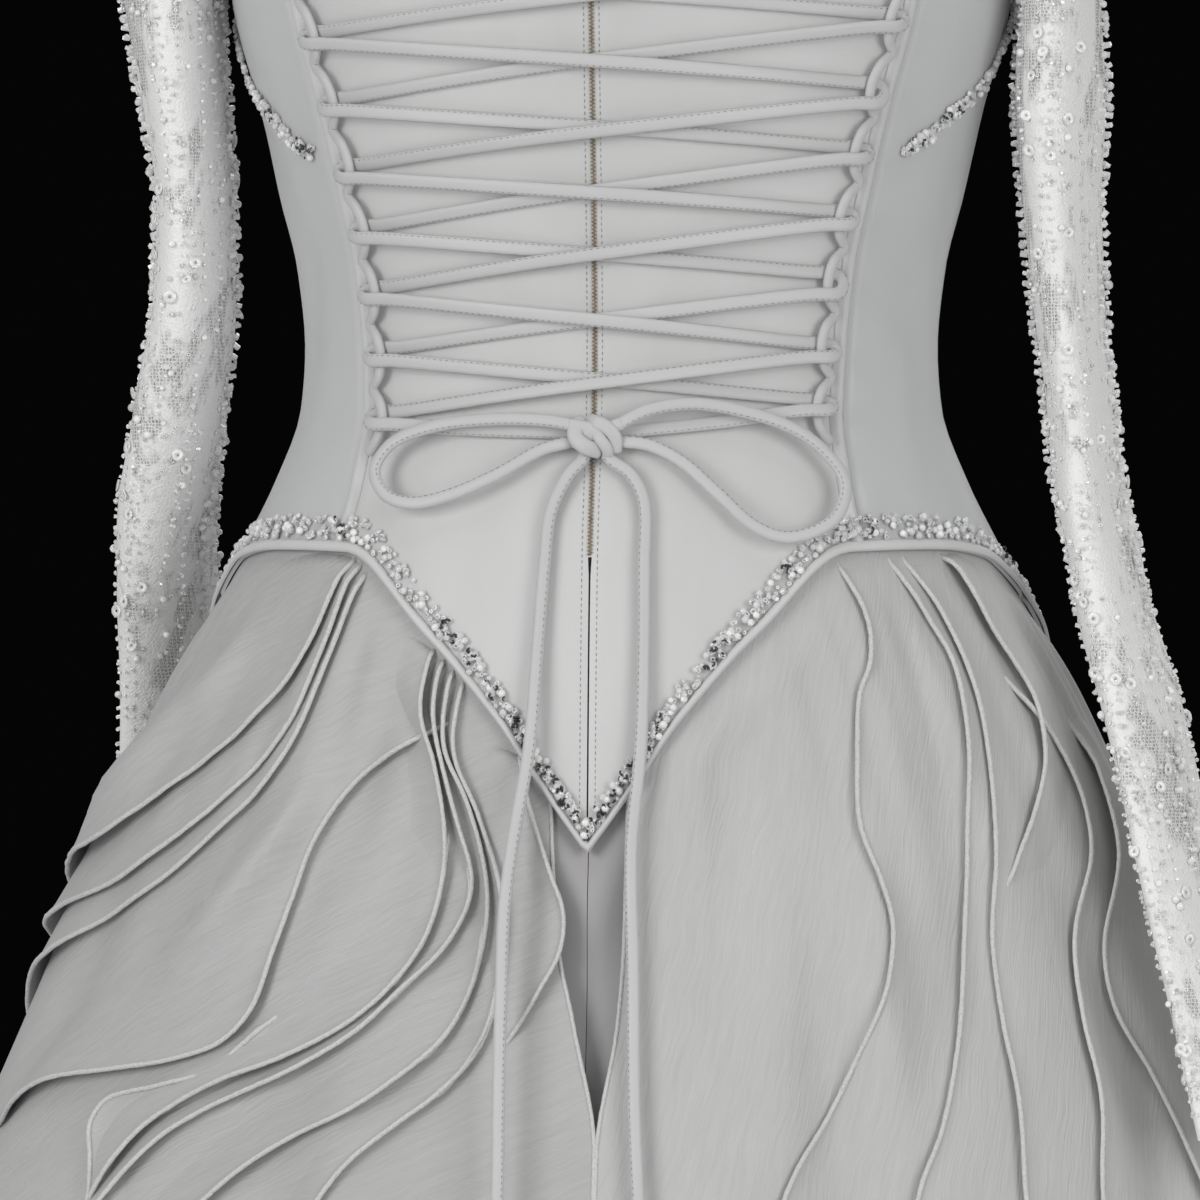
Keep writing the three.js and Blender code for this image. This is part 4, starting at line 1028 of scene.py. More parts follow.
def bump(made, height, distance, shader):
    node = made.add("ShaderNodeBump")
    node.inputs["Strength"].default_value = 1.0
    node.inputs["Distance"].default_value = distance
    made.join(height, node.inputs["Height"])
    made.join(node.outputs["Normal"], shader.inputs["Normal"])


def uv_of(made):
    return made.add("ShaderNodeUVMap", uv_map="UVMap").outputs["UV"]


def object_place(made):
    return made.add("ShaderNodeTexCoord").outputs["Object"]


def shades(colour, darker=0.93, lighter=1.04):
    return tuple(c * darker for c in colour[:3]), tuple(min(c * lighter, 1) for c in colour[:3])


def woven(name, colour, roughness, depth, sheen=0.0):
    material, made, shader = new_material(name, roughness, Sheen_Weight=sheen, Sheen_Roughness=0.5)
    grain = use_group(made, "woven_grain", uv_of(made))
    darker, lighter = shades(colour)
    mix_colour(made, grain.outputs["Cloud"], darker, lighter, shader.inputs["Base Color"])
    rough = made.spread(grain.outputs["Height"], 0.3, 0.7, roughness - 0.06, roughness + 0.06)
    made.join(rough, shader.inputs["Roughness"])
    bump(made, grain.outputs["Height"], depth, shader)
    return material


CRINKLE_DEPTH = 0.00042


def crinkled(name, colour, turn, painted_shade_tone=1.0):
    """Organza with its fine creases turned to one side, and painted shade: the left flounces' cloth is
    painted a little darker, as the side that faces away from the light.
    """
    material, made, shader = new_material(name, 0.5, Sheen_Weight=0.12, Sheen_Roughness=0.45)
    crinkle = use_group(made, "crinkle", uv_of(made))
    crinkle.inputs["Turn"].default_value = turn
    darker, lighter = shades(colour, 0.92 * painted_shade_tone, 1.05 * painted_shade_tone)
    mix_colour(made, crinkle.outputs["Streak"], darker, lighter, shader.inputs["Base Color"])
    made.join(made.spread(crinkle.outputs["Glint"], 0, 1, 0.54, 0.2), shader.inputs["Roughness"])
    made.join(made.spread(crinkle.outputs["Glint"], 0, 1, 0.0, 0.5), shader.inputs["Metallic"])
    bump(made, crinkle.outputs["Height"], CRINKLE_DEPTH, shader)
    return material


def rolled(name, colour):
    """Rolled hem: thread wound along an edge."""
    material, made, shader = new_material(name, 0.55)
    wound = made.noise(object_place(made), 900.0, 2.0)
    darker, lighter = shades(colour, 0.9, 1.05)
    mix_colour(made, made.spread(wound, 0.35, 0.65), darker, lighter, shader.inputs["Base Color"])
    bump(made, wound, 0.0006, shader)
    return material


def glossy(name, colour, roughness, variation, **sockets):
    """Beads, thread and small hard things: a colour that varies a little from place to place."""
    material, made, shader = new_material(name, roughness, **sockets)
    patch = made.noise(object_place(made), 310.0, 2.0)
    darker, lighter = shades(colour, 1 - 2 * variation, 1 + variation)
    mix_colour(made, made.spread(patch, 0.35, 0.65), darker, lighter, shader.inputs["Base Color"])
    bump(made, made.noise(object_place(made), 2400.0, 1.0), 0.00006, shader)
    return material


def beaded_net(colour):
    material, made, shader = new_material("beaded_net", 0.5)
    net = use_group(made, "lace_net", object_place(made))
    darker, lighter = shades(colour, 0.9, 1.05)
    mix_colour(made, net.outputs["Lace"], darker, lighter, shader.inputs["Base Color"])
    bump(made, net.outputs["Height"], 0.0006, shader)
    open_net = made.math("MULTIPLY", net.outputs["Thread"], 0.85)
    laced = made.math("MULTIPLY", net.outputs["Lace"], 0.9)
    cover = made.math("MAXIMUM", open_net, laced)
    made.join(made.math("MINIMUM", made.math("ADD", cover, 0.26), 1.0), shader.inputs["Alpha"])
    return material


def worn_metal(name, colour):
    material, made, shader = new_material(name, 0.3, 0.9)
    rub = made.noise(object_place(made), 420.0, 3.0)
    mix_colour(made, made.spread(rub, 0.35, 0.7), *shades(colour, 0.82, 1.1), shader.inputs["Base Color"])
    made.join(made.spread(rub, 0.3, 0.7, 0.22, 0.42), shader.inputs["Roughness"])
    bump(made, rub, 0.00005, shader)
    return material


FINISH = {}


def make_materials():
    colours = bpy.context.scene.gown_colours
    GROUPS["crinkle"] = crinkle_group()
    GROUPS["woven_grain"] = grain_group()
    GROUPS["lace_net"] = net_group()
    FINISH.update(
        satin=woven("satin", colours.satin, 0.5, 0.00005, 0.1),
        side_satin=woven("side_satin", colours.side_satin, 0.46, 0.00005, 0.1),
        rouleau=woven("rouleau", colours.rouleau, 0.52, 0.00007),
        lining=woven("lining", colours.lining, 0.6, 0.00006, 0.1),
        # The left organza is painted darker: painted shade for the side that faces away from the lights.
        organza_left=crinkled("organza_left", colours.organza, math.radians(-24), painted_shade_tone=0.9),
        organza_right=crinkled("organza_right", colours.organza, math.radians(-78)),
        organza_low=crinkled("organza_low", colours.organza, math.radians(-86)),
        hem=rolled("rolled_hem", colours.hem),
        net=beaded_net(colours.net),
        pearl=glossy("pearl", colours.pearl, 0.16, 0.05, Coat_Weight=0.6, Coat_Roughness=0.06),
        clear=glossy("clear_bead", colours.clear_bead, 0.06, 0.08, Coat_Weight=1.0, Coat_Roughness=0.02,
                     Alpha=0.72),
        seed=glossy("seed_bead", colours.seed_bead, 0.12, 0.1, Coat_Weight=0.8, Coat_Roughness=0.04),
        foil=glossy("dark_foil", colours.foil, 0.22, 0.3),
        thread=glossy("thread", colours.thread, 0.7, 0.2),
        tape=woven("zip_tape", colours.zip_tape, 0.6, 0.00012),
        teeth=glossy("zip_teeth", colours.zip_teeth, 0.3, 0.2),
        metal=worn_metal("zip_metal", colours.zip_metal),
    )


# Bodice, zip and bead trims


def seam_angle(height):
    return SEAM / degree_length(60.0, height)


def boning_angle(height):
    return BONING_WIDTH / degree_length(50.0, height)


def dense_edges(count):
    """Steps from 0 to 1 that are closer together at both ends."""
    t = np.linspace(0, 1, count + 1)
    return 0.45 * t + 0.55 * (1 - np.cos(np.pi * t)) / 2


def panel_point(start, end, dip=0.8, raised=0.0, bulge=0.0):
    """A bodice panel between two angles; its edges dip into the seams, and bulge rounds it over a bone."""

    def point(u, v):
        angle = start(0 * u) + (end(0 * u) - start(0 * u)) * u
        for _ in range(6):
            low = basque_height(from_back(angle)) + 0.5
            height = low + (top_height(from_back(angle)) - low) * v
            angle = start(height) + (end(height) - start(height)) * u
        width = np.abs(end(height) - start(height)) * degree_length(angle, height)
        edges = np.exp(-((u * width / 1.5) ** 2)) + np.exp(-(((1 - u) * width / 1.5) ** 2))
        out = raised - dip * edges + bulge * np.sin(np.pi * np.clip(u, 0, 1)) ** 0.7
        out = out + creases(BODICE_CREASES, angle, height) * (1 - edges)
        return body(angle, height, out)

    return point


def build_bodice(context):
    sizes = context.scene.gown_sizes
    wall = sizes.satin_thickness
    for side, sign in SIDES:
        panels = (
            ("bodice_centre_back", lambda h: sign * angle_at(half_gap(h), h),
             lambda h: sign * lacing_angle(h), (36, 48), "satin", {"dip": 0.5}),
            ("lacing_strip", lambda h: sign * (lacing_angle(h) + seam_angle(h)),
             lambda h: sign * (lacing_angle(h) + boning_angle(h)), (10, 70), "satin",
             {"dip": 1.5, "raised": 0.4, "bulge": 1.2}),
            ("bodice_side_back", lambda h: sign * (lacing_angle(h) + boning_angle(h) + seam_angle(h)),
             lambda h: sign * (90 - seam_angle(h) / 2), (32, 40), "side_satin", {"dip": 1.6}),
            ("bodice_side_front", lambda h: sign * (90 + seam_angle(h) / 2),
             lambda h: sign * (140 - seam_angle(h) / 2), (30, 36), "side_satin", {}),
        )
        for stem, start, end, (columns, rows), finish, shape in panels:
            name = f"{stem}_{side}"
            piece = cloth(f"{name}_cloth", panel_point(start, end, **shape), columns, rows, wall,
                          FINISH[finish], us=dense_edges(columns))
            settle(piece, replaces=[name])
            sheet_of(piece)
    front = panel_point(lambda h: 140 + seam_angle(h) / 2, lambda h: 220 - seam_angle(h) / 2)
    piece = cloth("bodice_centre_front_cloth", front, 40, 36, wall, FINISH["satin"], us=dense_edges(40))
    settle(piece, replaces=["bodice_centre_front"])
    sheet_of(piece)


def edge_line(angles, rise, out):
    """Points along the bodice's lower edge, moved up from it and out."""
    angles = np.asarray(angles, float)
    return body(angles, basque_height(from_back(angles)) + rise, out)


def edge_angles(step):
    """Angles a fixed distance apart along the bodice's lower edge, all the way round from the front."""
    fine = np.linspace(-180, 180, 4001)
    line = edge_line(fine, 0, 0)
    along = distances(line)
    return np.interp(np.arange(0, along[-1], step), along, fine)


def build_binding(context):
    """The satin binding under the beads: a flattened roll with a seam line along its top."""
    height = BINDING_WIDTH + 0.5
    fine = edge_angles(4.4)

    def point(u, v):
        angle = np.interp(u, np.linspace(0, 1, len(fine) + 1), np.append(fine, fine[0] + 360))
        turn = np.pi * (v - 0.5)
        out = 0.5 + 1.9 * np.cos(turn) + 0.12 * np.sin(np.radians(angle * 31))
        return body(angle, basque_height(from_back(angle)) + height * (0.5 + 0.5 * np.sin(turn)), out)

    piece = cloth("basque_binding_cloth", point, len(fine), 8, context.scene.gown_sizes.net_thickness,
                  FINISH["satin"], ring=True)
    settle(piece, replaces=["basque_binding"])
    sheet_of(piece)


def band_beads(name, middle_of, width, rng, density, finishes, foil_share):
    """Beads sewn close together along a band: big pearls and crystals, then rocailles, cut beads and foil.

    middle_of(distances, offsets, outs) gives places, directions outward and directions along the band."""
    groups = []
    kinds = (
        ("pearl", "pearl", 0.08, (2.5, 3.3)),
        ("pearl", "clear", 0.14, (2.3, 3.2)),
        ("rocaille", "clear", 0.32, (2.1, 3.0)),
        ("rocaille", "seed", 0.22, (1.7, 2.4)),
        ("cut", "clear", 0.13, (1.8, 2.6)),
        ("crystal", "clear", 0.11, (2.0, 2.8)),
    )
    length = middle_of.length
    for kind, finish, share, (small, large) in kinds:
        count = int(length * density * share)
        at = rng.uniform(0, length, count)
        across = rng.uniform(-0.5, 0.5, count) * (width - 1.4)
        size = rng.uniform(small, large, count)
        places, outs, runs = middle_of(at, across, 0.5 + size * 0.34 + rng.uniform(0, 0.5, count))
        spin = runs * np.cos(at * 7)[:, None] + np.cross(outs, runs) * np.sin(at * 7)[:, None]
        tilt = outs + 0.45 * rng.normal(size=(count, 3))
        groups.append((kind, places, tilt, spin, size, finishes.index(finish)))
    count = int(length * foil_share)
    clump = rng.choice(middle_of.foil_at, count) + rng.normal(0, 3.2, count)
    across = rng.uniform(-0.32, 0.4, count) * width
    places, outs, runs = middle_of(np.clip(clump, 0, length), across, rng.uniform(2.1, 2.9, count))
    spin = runs * np.cos(clump * 5)[:, None] + np.cross(outs, runs) * np.sin(clump * 5)[:, None]
    groups.append(("chip", places, outs + 0.5 * rng.normal(size=(count, 3)), spin,
                   rng.uniform(1.8, 3.3, count), finishes.index("foil")))
    return scatter(name, groups, [FINISH[f] for f in finishes])


class Band:
    """Places on a band of the surface by distance along it."""

    def __init__(self, line_of, fine, foil_at):
        line = line_of(fine, 0.0, 0.0)
        self.line_of = line_of
        self.fine = fine
        self.along = distances(line)
        self.length = self.along[-1]
        self.foil_at = np.asarray(foil_at) * self.length

    def __call__(self, at, across, out):
        key = np.interp(at, self.along, self.fine)
        step = (self.fine[-1] - self.fine[0]) * 1e-4
        places = self.line_of(key, across, out)
        outs = self.line_of(key, across, out + 1.0) - places
        runs = self.line_of(key + step, across, out) - places
        return places, outs, runs / np.maximum(np.linalg.norm(runs, axis=1, keepdims=True), 1e-9)


BEAD_FINISHES = ["pearl", "clear", "seed", "foil", "satin"]


def build_basque_beads(context):
    """The bead band all round the bodice's lower edge, over a narrow satin ground."""
    middle = BINDING_WIDTH + 0.6 + BEAD_BAND_WIDTH / 2

    def line_of(angle, across, out):
        return edge_line(angle, middle + across, out)

    spots = np.array([0.02, 0.09, 0.17, 0.26, 0.345, 0.41, 0.425, 0.44, 0.455, 0.465, 0.475, 0.483, 0.492,
                      0.5, 0.508, 0.52, 0.531, 0.545, 0.58, 0.62, 0.66, 0.74, 0.83, 0.92])
    band = Band(line_of, np.linspace(-180, 180, 4001), spots)
    beads = band_beads("basque_beads", band, BEAD_BAND_WIDTH, np.random.default_rng(11),
                       context.scene.gown_sizes.bead_density, BEAD_FINISHES, 0.15)
    settle(beads, replaces=["basque_bead_band"])


def trim_line(sign):
    part = np.linspace(0, 1, len(UPPER_TRIM))
    rows = np.column_stack([part, UPPER_TRIM])
    along, up = smooth_table(rows, 1), smooth_table(rows, 2)

    def line_of(key, across, out):
        ahead, behind = np.clip(np.asarray(key) + 0.01, 0, 1), np.clip(np.asarray(key) - 0.01, 0, 1)
        scale = degree_length(along(key), up(key))
        turn, rise = (along(ahead) - along(behind)) * scale, up(ahead) - up(behind)
        size = np.hypot(turn, rise)
        angle = along(key) - rise / size * across / scale
        return body(sign * angle, up(key) + turn / size * across, out)

    return line_of


def build_upper_trims(context):
    for side, sign in SIDES:
        band = Band(trim_line(sign), np.linspace(0, 1, 801), [0.02, 0.06, 0.2, 0.5, 0.8])
        beads = band_beads(f"upper_beads_{side}", band, TRIM_WIDTH, np.random.default_rng(21 + sign),
                           context.scene.gown_sizes.bead_density * 1.1, BEAD_FINISHES, 0.16)
        settle(beads, replaces=[f"upper_bead_trim_{side}"])


def build_zip(context):
    """Tape, two rows of teeth, stitching beside them, and the slider with its pull tab."""

    def tape_point(u, v):
        height = ZIP_BOTTOM + (ZIP_TOP - ZIP_BOTTOM) * v
        return body(angle_at(TAPE_HALF_WIDTH * (2 * u - 1), height), height, -0.55)

    tape = cloth("zip_tape", tape_point, 6, 80, context.scene.gown_sizes.net_thickness, FINISH["tape"])
    settle(tape, replaces=["zip_teeth"])
    sheet_of(tape)
    heights = np.arange(ZIP_BOTTOM + 1, ZIP_TOP - 1, TOOTH_PITCH)
    groups = []
    for shift, sign in ((0, -1), (TOOTH_PITCH / 2, 1)):
        at = heights + shift
        places = body(angle_at(sign * 0.32 + 0 * at, at), at, 0.0 * at - 0.1)
        groups.append(("tooth", places, (0, -1, 0), (0, 0, 1), (1.0, 0.62, 0.75), 0))
    teeth = scatter("zip_teeth_rows", groups, [FINISH["teeth"]])
    settle(teeth)
    groups = []
    at = np.arange(ZIP_STITCH_BOTTOM, ZIP_TOP, ZIP_STITCH_PITCH)
    for sign in (-1, 1):
        places = body(angle_at(sign * ZIP_STITCH_AWAY + 0 * at, at), at, 0.04 + 0 * at)
        groups.append(("stitch", places, (0, 0, 1), (0, -1, 0), (0.62, 0.5, 1.5), 0))
    stitches = scatter("zip_stitches", groups, [FINISH["thread"]])
    settle(stitches)
    build_slider()
    build_pull_tab()


def add_block(place, size):
    """A block with its middle at a place."""
    bpy.ops.mesh.primitive_cube_add(size=1, location=place)
    block = active_piece()
    pick(block)
    resize_all(size)
    fix_place()
    return block


def build_slider():
    """The slider's tapered body with the two ears that hold the pull tab."""
    low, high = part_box("zip_slider")
    centre, size = (low + high) / 2, high - low
    thickness = 0.0018
    slider = add_block((centre.x, high.y - thickness / 2, centre.z), (size.x, thickness, size.z))
    slider.name = "zip_slider_body"
    open_mesh()
    select_verts(lambda co: co.z < centre.z)
    bpy.ops.transform.resize(value=(0.72, 1, 1), center_override=(centre.x, centre.y, centre.z))
    close_mesh()
    ears = []
    for sign in (-1, 1):
        place = (centre.x + sign * 0.00275, low.y + 0.0011, centre.z + 0.0014)
        ears.append(add_block(place, (0.0008, 0.0024, 0.0044)))
    join_into(slider, ears)
    soften(slider, 0.0003)
    slider.data.materials.append(FINISH["metal"])
    settle(slider, replaces=["zip_slider"])


def build_pull_tab():
    """The pull tab: a plate with round ends and a sunk face on each side."""
    low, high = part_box("zip_pull_tab")
    centre, size = (low + high) / 2, high - low
    bottom = low.z + size.x / 2
    bpy.ops.object.select_all(action="DESELECT")
    bpy.ops.mesh.primitive_cylinder_add(vertices=24, radius=size.x / 2, depth=size.y,
                                        location=(centre.x, centre.y, bottom), rotation=(math.pi / 2, 0, 0))
    tab = active_piece()
    tab.name = "zip_pull_tab_plate"
    fix_place()
    open_mesh()
    select_verts(lambda co: co.z > bottom + 1e-5)
    bpy.ops.transform.translate(value=(0, 0, size.z - size.x))
    select_faces(lambda normal: abs(normal.y) > 0.9)
    bpy.ops.mesh.inset(thickness=0.0006, depth=-0.00022)
    bpy.ops.mesh.select_mode(type="VERT")
    close_mesh()
    soften(tab, 0.00012)
    tab.data.materials.append(FINISH["metal"])
    settle(tab, "pull_tab", ["zip_pull_tab"])


def soften(piece, width):
    bevel = piece.modifiers.new("edges", "BEVEL")
    bevel.width = width
    bevel.segments = 2
    apply_modifiers(piece)
    smooth(piece, 40)


# Yokes and sleeves


def sleeve_rows(side, v):
    """A sleeve's sections along its length, read smoothly from its table."""
    rows = np.array(SLEEVE_HEAD + SLEEVE_FALL[side], float)
    keyed = np.column_stack([np.linspace(0, 1, len(rows)), rows])
    return [smooth_table(keyed, k)(v) for k in range(1, 9)]


def section_point(row, turn, out, sign):
    """A point of a sleeve section: turn 0 is next to the body, 180 the outer edge, 90 the back."""
    inner_x, inner_z, outer_x, outer_z, forward, deep, drawn, twist = row
    reach_x, reach_z = (inner_x - outer_x) / 2, (inner_z - outer_z) / 2
    size = np.hypot(reach_x, reach_z)
    cosine, sine = np.cos(np.radians(turn)), np.sin(np.radians(turn))
    local_x = reach_x * (size + out) / size * cosine - drawn * sine * sine
    local_y = -(deep + out) * sine
    local_z = reach_z * (size + out) / size * cosine
    angle = np.radians(twist)
    x = local_x * np.cos(angle) - local_y * np.sin(angle) + (inner_x + outer_x) / 2
    y = local_x * np.sin(angle) + local_y * np.cos(angle) + forward
    return np.stack(np.broadcast_arrays(sign * x, y, local_z + (inner_z + outer_z) / 2), axis=-1)


def sleeve_folds(side, u, v):
    """Soft dents down an empty sleeve, and small rings of slack cloth at the elbow and wrist."""
    shift = 0.7 if side == "left" else 2.1
    long = 0.9 * np.sin(2 * np.pi * u * 3 + shift + 3 * np.sin(v * 5)) * smoothstep(v, 0.25, 0.4)
    rings = 0.7 * np.sin(v * 60 + 2.4 * np.sin(2 * np.pi * u + shift)) * np.exp(-(((v - 0.66) / 0.08) ** 2))
    return -0.9 + long + rings


def build_sleeves(context):
    sizes = context.scene.gown_sizes
    for side, sign in SIDES:
        def point(u, v):
            return section_point(sleeve_rows(side, v), u * 360, sleeve_folds(side, u, v), sign)

        def centre(u, v):
            row = sleeve_rows(side, v)
            return section_point([*row[:5], 0 * row[5], 0 * row[6], row[7]], 90 + 0 * u, 0, sign)

        piece = cloth(f"sleeve_{side}_net", point, 40, 84, sizes.net_thickness, FINISH["net"], ring=True,
                      centre=centre, depth_share=0.4)
        settle(piece, replaces=[f"sleeve_{side}"])
        sheet_of(piece, [sleeve_beads(context, side, sign)])


def sleeve_beads(context, side, sign):
    """Beads on a sleeve: lengthwise rows of cut beads, scattered rocailles, pearls and sequins."""
    rng = np.random.default_rng(40 + sign)
    finishes = ["pearl", "clear", "seed", "net"]

    def on(u, v, out):
        row = sleeve_rows(side, v)
        lift = sleeve_folds(side, u, v)
        place = section_point(row, u * 360, lift + out, sign)
        away = section_point(row, u * 360, lift + out + 2, sign) - place
        down = section_point(sleeve_rows(side, v + 0.002), u * 360, lift + out, sign) - place
        return place, away, down

    def group(kind, finish, u, v, out, size, jitter=0.3):
        place, away, down = on(u, v, out)
        tilt = unit(away) + jitter * rng.normal(size=place.shape)
        return kind, place, tilt, down + 0.3 * rng.normal(size=place.shape), size, finishes.index(finish)

    groups = []
    lines = 18
    for k in range(lines):
        v = np.arange(0.01, 0.995, 0.0064)
        v = v + rng.normal(0, 0.0009, len(v))
        v = v[np.sin(v * 26 + k * 2.2) + 0.7 * np.sin(v * 61 + k) > -0.5]
        u = (k + 0.5) / lines + 0.016 * np.sin(v * 21 + k * 1.7) + rng.normal(0, 0.004, len(v))
        kind = "cut" if k % 3 else "rocaille"
        groups.append(group(kind, "seed", u, v, 0.6, rng.uniform(1.4, 2.1, len(v))))
    for kind, finish, count, out, sizes, jitter in (
        ("rocaille", "clear", 420, 0.7, (1.7, 2.5), 0.7), ("crystal", "clear", 420, 0.8, (1.6, 2.4), 0.6),
        ("pearl", "pearl", 150, 1.3, (2.2, 3.3), 0.3), ("sequin", "pearl", 110, 1.4, (4.2, 5.4), 0.2),
    ):
        u, v = rng.uniform(0, 1, count), rng.uniform(0.005, 0.995, count)
        groups.append(group(kind, finish, u, v, out, rng.uniform(*sizes, count), jitter))
    for edge in (0.5, 1.0):
        v = np.arange(0.12, 0.995, 0.0058)
        u = edge + rng.normal(0, 0.014, len(v))
        groups.append(group("cut", "seed", u, v, 1.5, rng.uniform(2.0, 3.0, len(v)), 0.5))
        v = rng.uniform(0.12, 0.99, 60)
        u = edge + rng.normal(0, 0.02, 60)
        groups.append(group("pearl", "clear", u, v, 1.8, rng.uniform(2.4, 3.4, 60)))
    beads = scatter(f"sleeve_{side}_beads", groups, [FINISH[f] for f in finishes])
    return settle(beads)


def build_yokes(context):
    across, outward, height = (smooth_table(YOKE_NECK, k) for k in (1, 2, 3))
    first = YOKE_NECK[0, 0]
    fuller_front = float(half_front(190) / half_back(190))
    for side, sign in SIDES:
        def point(u, v):
            turn = first + (360 - 2 * first) * u
            half = np.minimum(turn, 360 - turn)
            to_back = np.where(turn < 180, -1.0, 1.0)
            fuller = np.where(turn < 180, 1.0, fuller_front)
            outer = section_point(SLEEVE_HEAD[0], turn, 0, 1)
            outer[..., 0] -= 1.9 - 0.9 * np.abs(np.cos(np.radians(half)))
            inner = np.stack([across(half), to_back * outward(half) * fuller, height(half)], axis=-1)
            place = inner + (outer - inner) * v[..., None]
            away = np.stack([0.25 + 0 * half, to_back * np.sin(np.radians(half)),
                             0.2 - np.cos(np.radians(half))], axis=-1)
            away = unit(away)
            dent = -0.8 * np.sin(np.pi * v) * (0.6 + 0.4 * np.sin(np.radians(turn * 5)))
            place = place + away * (dent - 0.2)[..., None]
            place[..., 0] *= sign
            return place

        def centre(u, v):
            middle = point(u, v) * 0
            middle[..., 0], middle[..., 2] = sign * 140, 250
            return middle

        wall = context.scene.gown_sizes.satin_thickness
        piece = cloth(f"shoulder_yoke_{side}_cloth", point, 72, 12, wall, FINISH["satin"], centre=centre)
        settle(piece, replaces=[f"shoulder_yoke_{side}"])
        sheet_of(piece)


# Lacing and bow


def build_loops(context):
    """The scalloped rouleau loops sewn along each lacing edge, with a tack at each joining point."""
    reaches = [0, 0.78, 1, 1, 0.78]
    for side, sign in SIDES:
        route = []
        for i in range(LOOP_COUNT * 5 + 1):
            height = LOOP_BOTTOM[side] + i / 5 * LOOP_PITCH
            reach = LOOP_REACH * reaches[i % 5]
            angle = lacing_angle(height) - (1.8 + reach) / degree_length(45.0, height)
            route.append((sign * angle, height, 4.6 if i % 5 else 2.5))
        route = smooth_route(route, 6)
        centre = body(route[:, 0], route[:, 1], route[:, 2])
        piece, _, _ = tube(f"lace_loops_{side}_cord", centre, surface_normal(route[:, 0], route[:, 1]),
                           LOOP_WIDTH, LOOP_THICKNESS, FINISH["rouleau"], 10, 0.8)
        settle(piece, replaces=[f"lace_loops_{side}"])
        at = LOOP_BOTTOM[side] + np.arange(LOOP_COUNT + 1) * LOOP_PITCH
        angle = sign * (lacing_angle(at) - 2.6 / degree_length(45.0, at))
        groups = []
        for shift in (-0.5, 0.5):
            places = body(angle, at + shift, 2.9 + 0 * at)
            across = surface_normal(angle, at)
            groups.append(("stitch", places, (0, 0, 1), across, (0.8, 1.0, 2.6), 0))
        settle(scatter(f"loop_tacks_{side}", groups, [FINISH["thread"]]))


def stitch_edge(centre, edge, level, width, thickness, side):
    """A row of machine stitches along one edge of a cord."""
    along = distances(centre)
    at = np.arange(3, along[-1] - 2, LACE_STITCH_PITCH)

    def read(values):
        return np.stack([np.interp(at, along, values[:, k]) for k in range(3)], axis=1)

    run = read(heading_of(centre))
    edges, levels = read(edge), read(level)
    places = read(centre) + edges * side * width * 0.37 + levels * thickness * 0.44
    return [("stitch", places, run, levels, (0.62, 0.42, 1.15), 0)]


def build_laces(context):
    """The two halves of the rouleau lace, crossing over the back and caught in the loops."""
    low, loop, high = 2.2, 4.6, 7.0
    for name, turns, crossing, lean in (("lace_over", LACE_TURNS["over"], 6.2, 1),
                                        ("lace_under", LACE_TURNS["under"], 2.6, -1)):
        route = [(turns[0][0] * 1.2, LACE_TOP, crossing)]
        for i, (side, arrive, leave) in enumerate(turns):
            def spot(reach, height, out):
                inward = reach / float(degree_length(45.0, height))
                return side * (float(lacing_angle(height)) - inward), height, out

            route += [
                spot(14, arrive, low), spot(4.4, arrive - 0.3, low), spot(1.2, (arrive + leave) / 2, loop),
                spot(4.4, leave + 0.3, high), spot(14, leave, high),
            ]
            if i + 1 < len(turns):
                route.append((0.0, (leave + turns[i + 1][1]) / 2, crossing))
        last = turns[-1]
        route.append((last[0] * 22, (last[2] + KNOT["z"]) / 2, low + 0.6))
        end = KNOT["x"] + last[0] * (KNOT["width"] / 2 + SEAM - 1.2)
        route.append((float(angle_at(end, KNOT["z"])), KNOT["z"] + 0.5, low))
        made = smooth_route(route, 14)
        made = even_route(made * (1.9, 1, 1), 1.6) / (1.9, 1, 1)
        centre = body(made[:, 0], made[:, 1], made[:, 2])
        normal = surface_normal(made[:, 0], made[:, 1])
        sway = np.sin(np.arange(len(made)) / 41.0 + lean)[:, None]
        normal = normal + np.array([0, 0, 1.0]) * 0.22 * sway
        piece, edge, level = tube(f"{name}_cord", centre, normal, LACE_WIDTH, LACE_THICKNESS,
                                  FINISH["rouleau"], 10, 0.75, 0.03, 5 + lean)
        settle(piece, replaces=[name])
        stitches = stitch_edge(centre, edge, level, LACE_WIDTH, LACE_THICKNESS, lean)
        settle(scatter(f"{name}_stitches", stitches, [FINISH["thread"]]))


def bow_route(name):
    route = np.array(BOW_ROUTES[name], float)
    places = body(angle_at(route[:, 0], route[:, 1]), route[:, 1], route[:, 2])
    return even_route(smooth_route(places, 10), 2.2)


def build_bow(context):
    """The knot, its two loops and its two hanging tails: rouleau cord with a stitched edge."""
    knot = build_knot()
    for name in BOW_ROUTES:
        centre = bow_route(name)
        across, height = centre[:, 0], centre[:, 2]
        normal = surface_normal(angle_at(np.clip(across, -110, 110), height), height)
        piece, edge, level = tube(f"{name}_cord", centre, normal, BOW_WIDTH, BOW_THICKNESS,
                                  FINISH["rouleau"], 12, 0.85, 0.03, len(name))
        settle(piece, replaces=[name])
        side = -1 if "left" in name else 1
        dots = scatter(f"{name}_stitches", stitch_edge(centre, edge, level, BOW_WIDTH, BOW_THICKNESS, side),
                       [FINISH["thread"]])
        settle(dots)


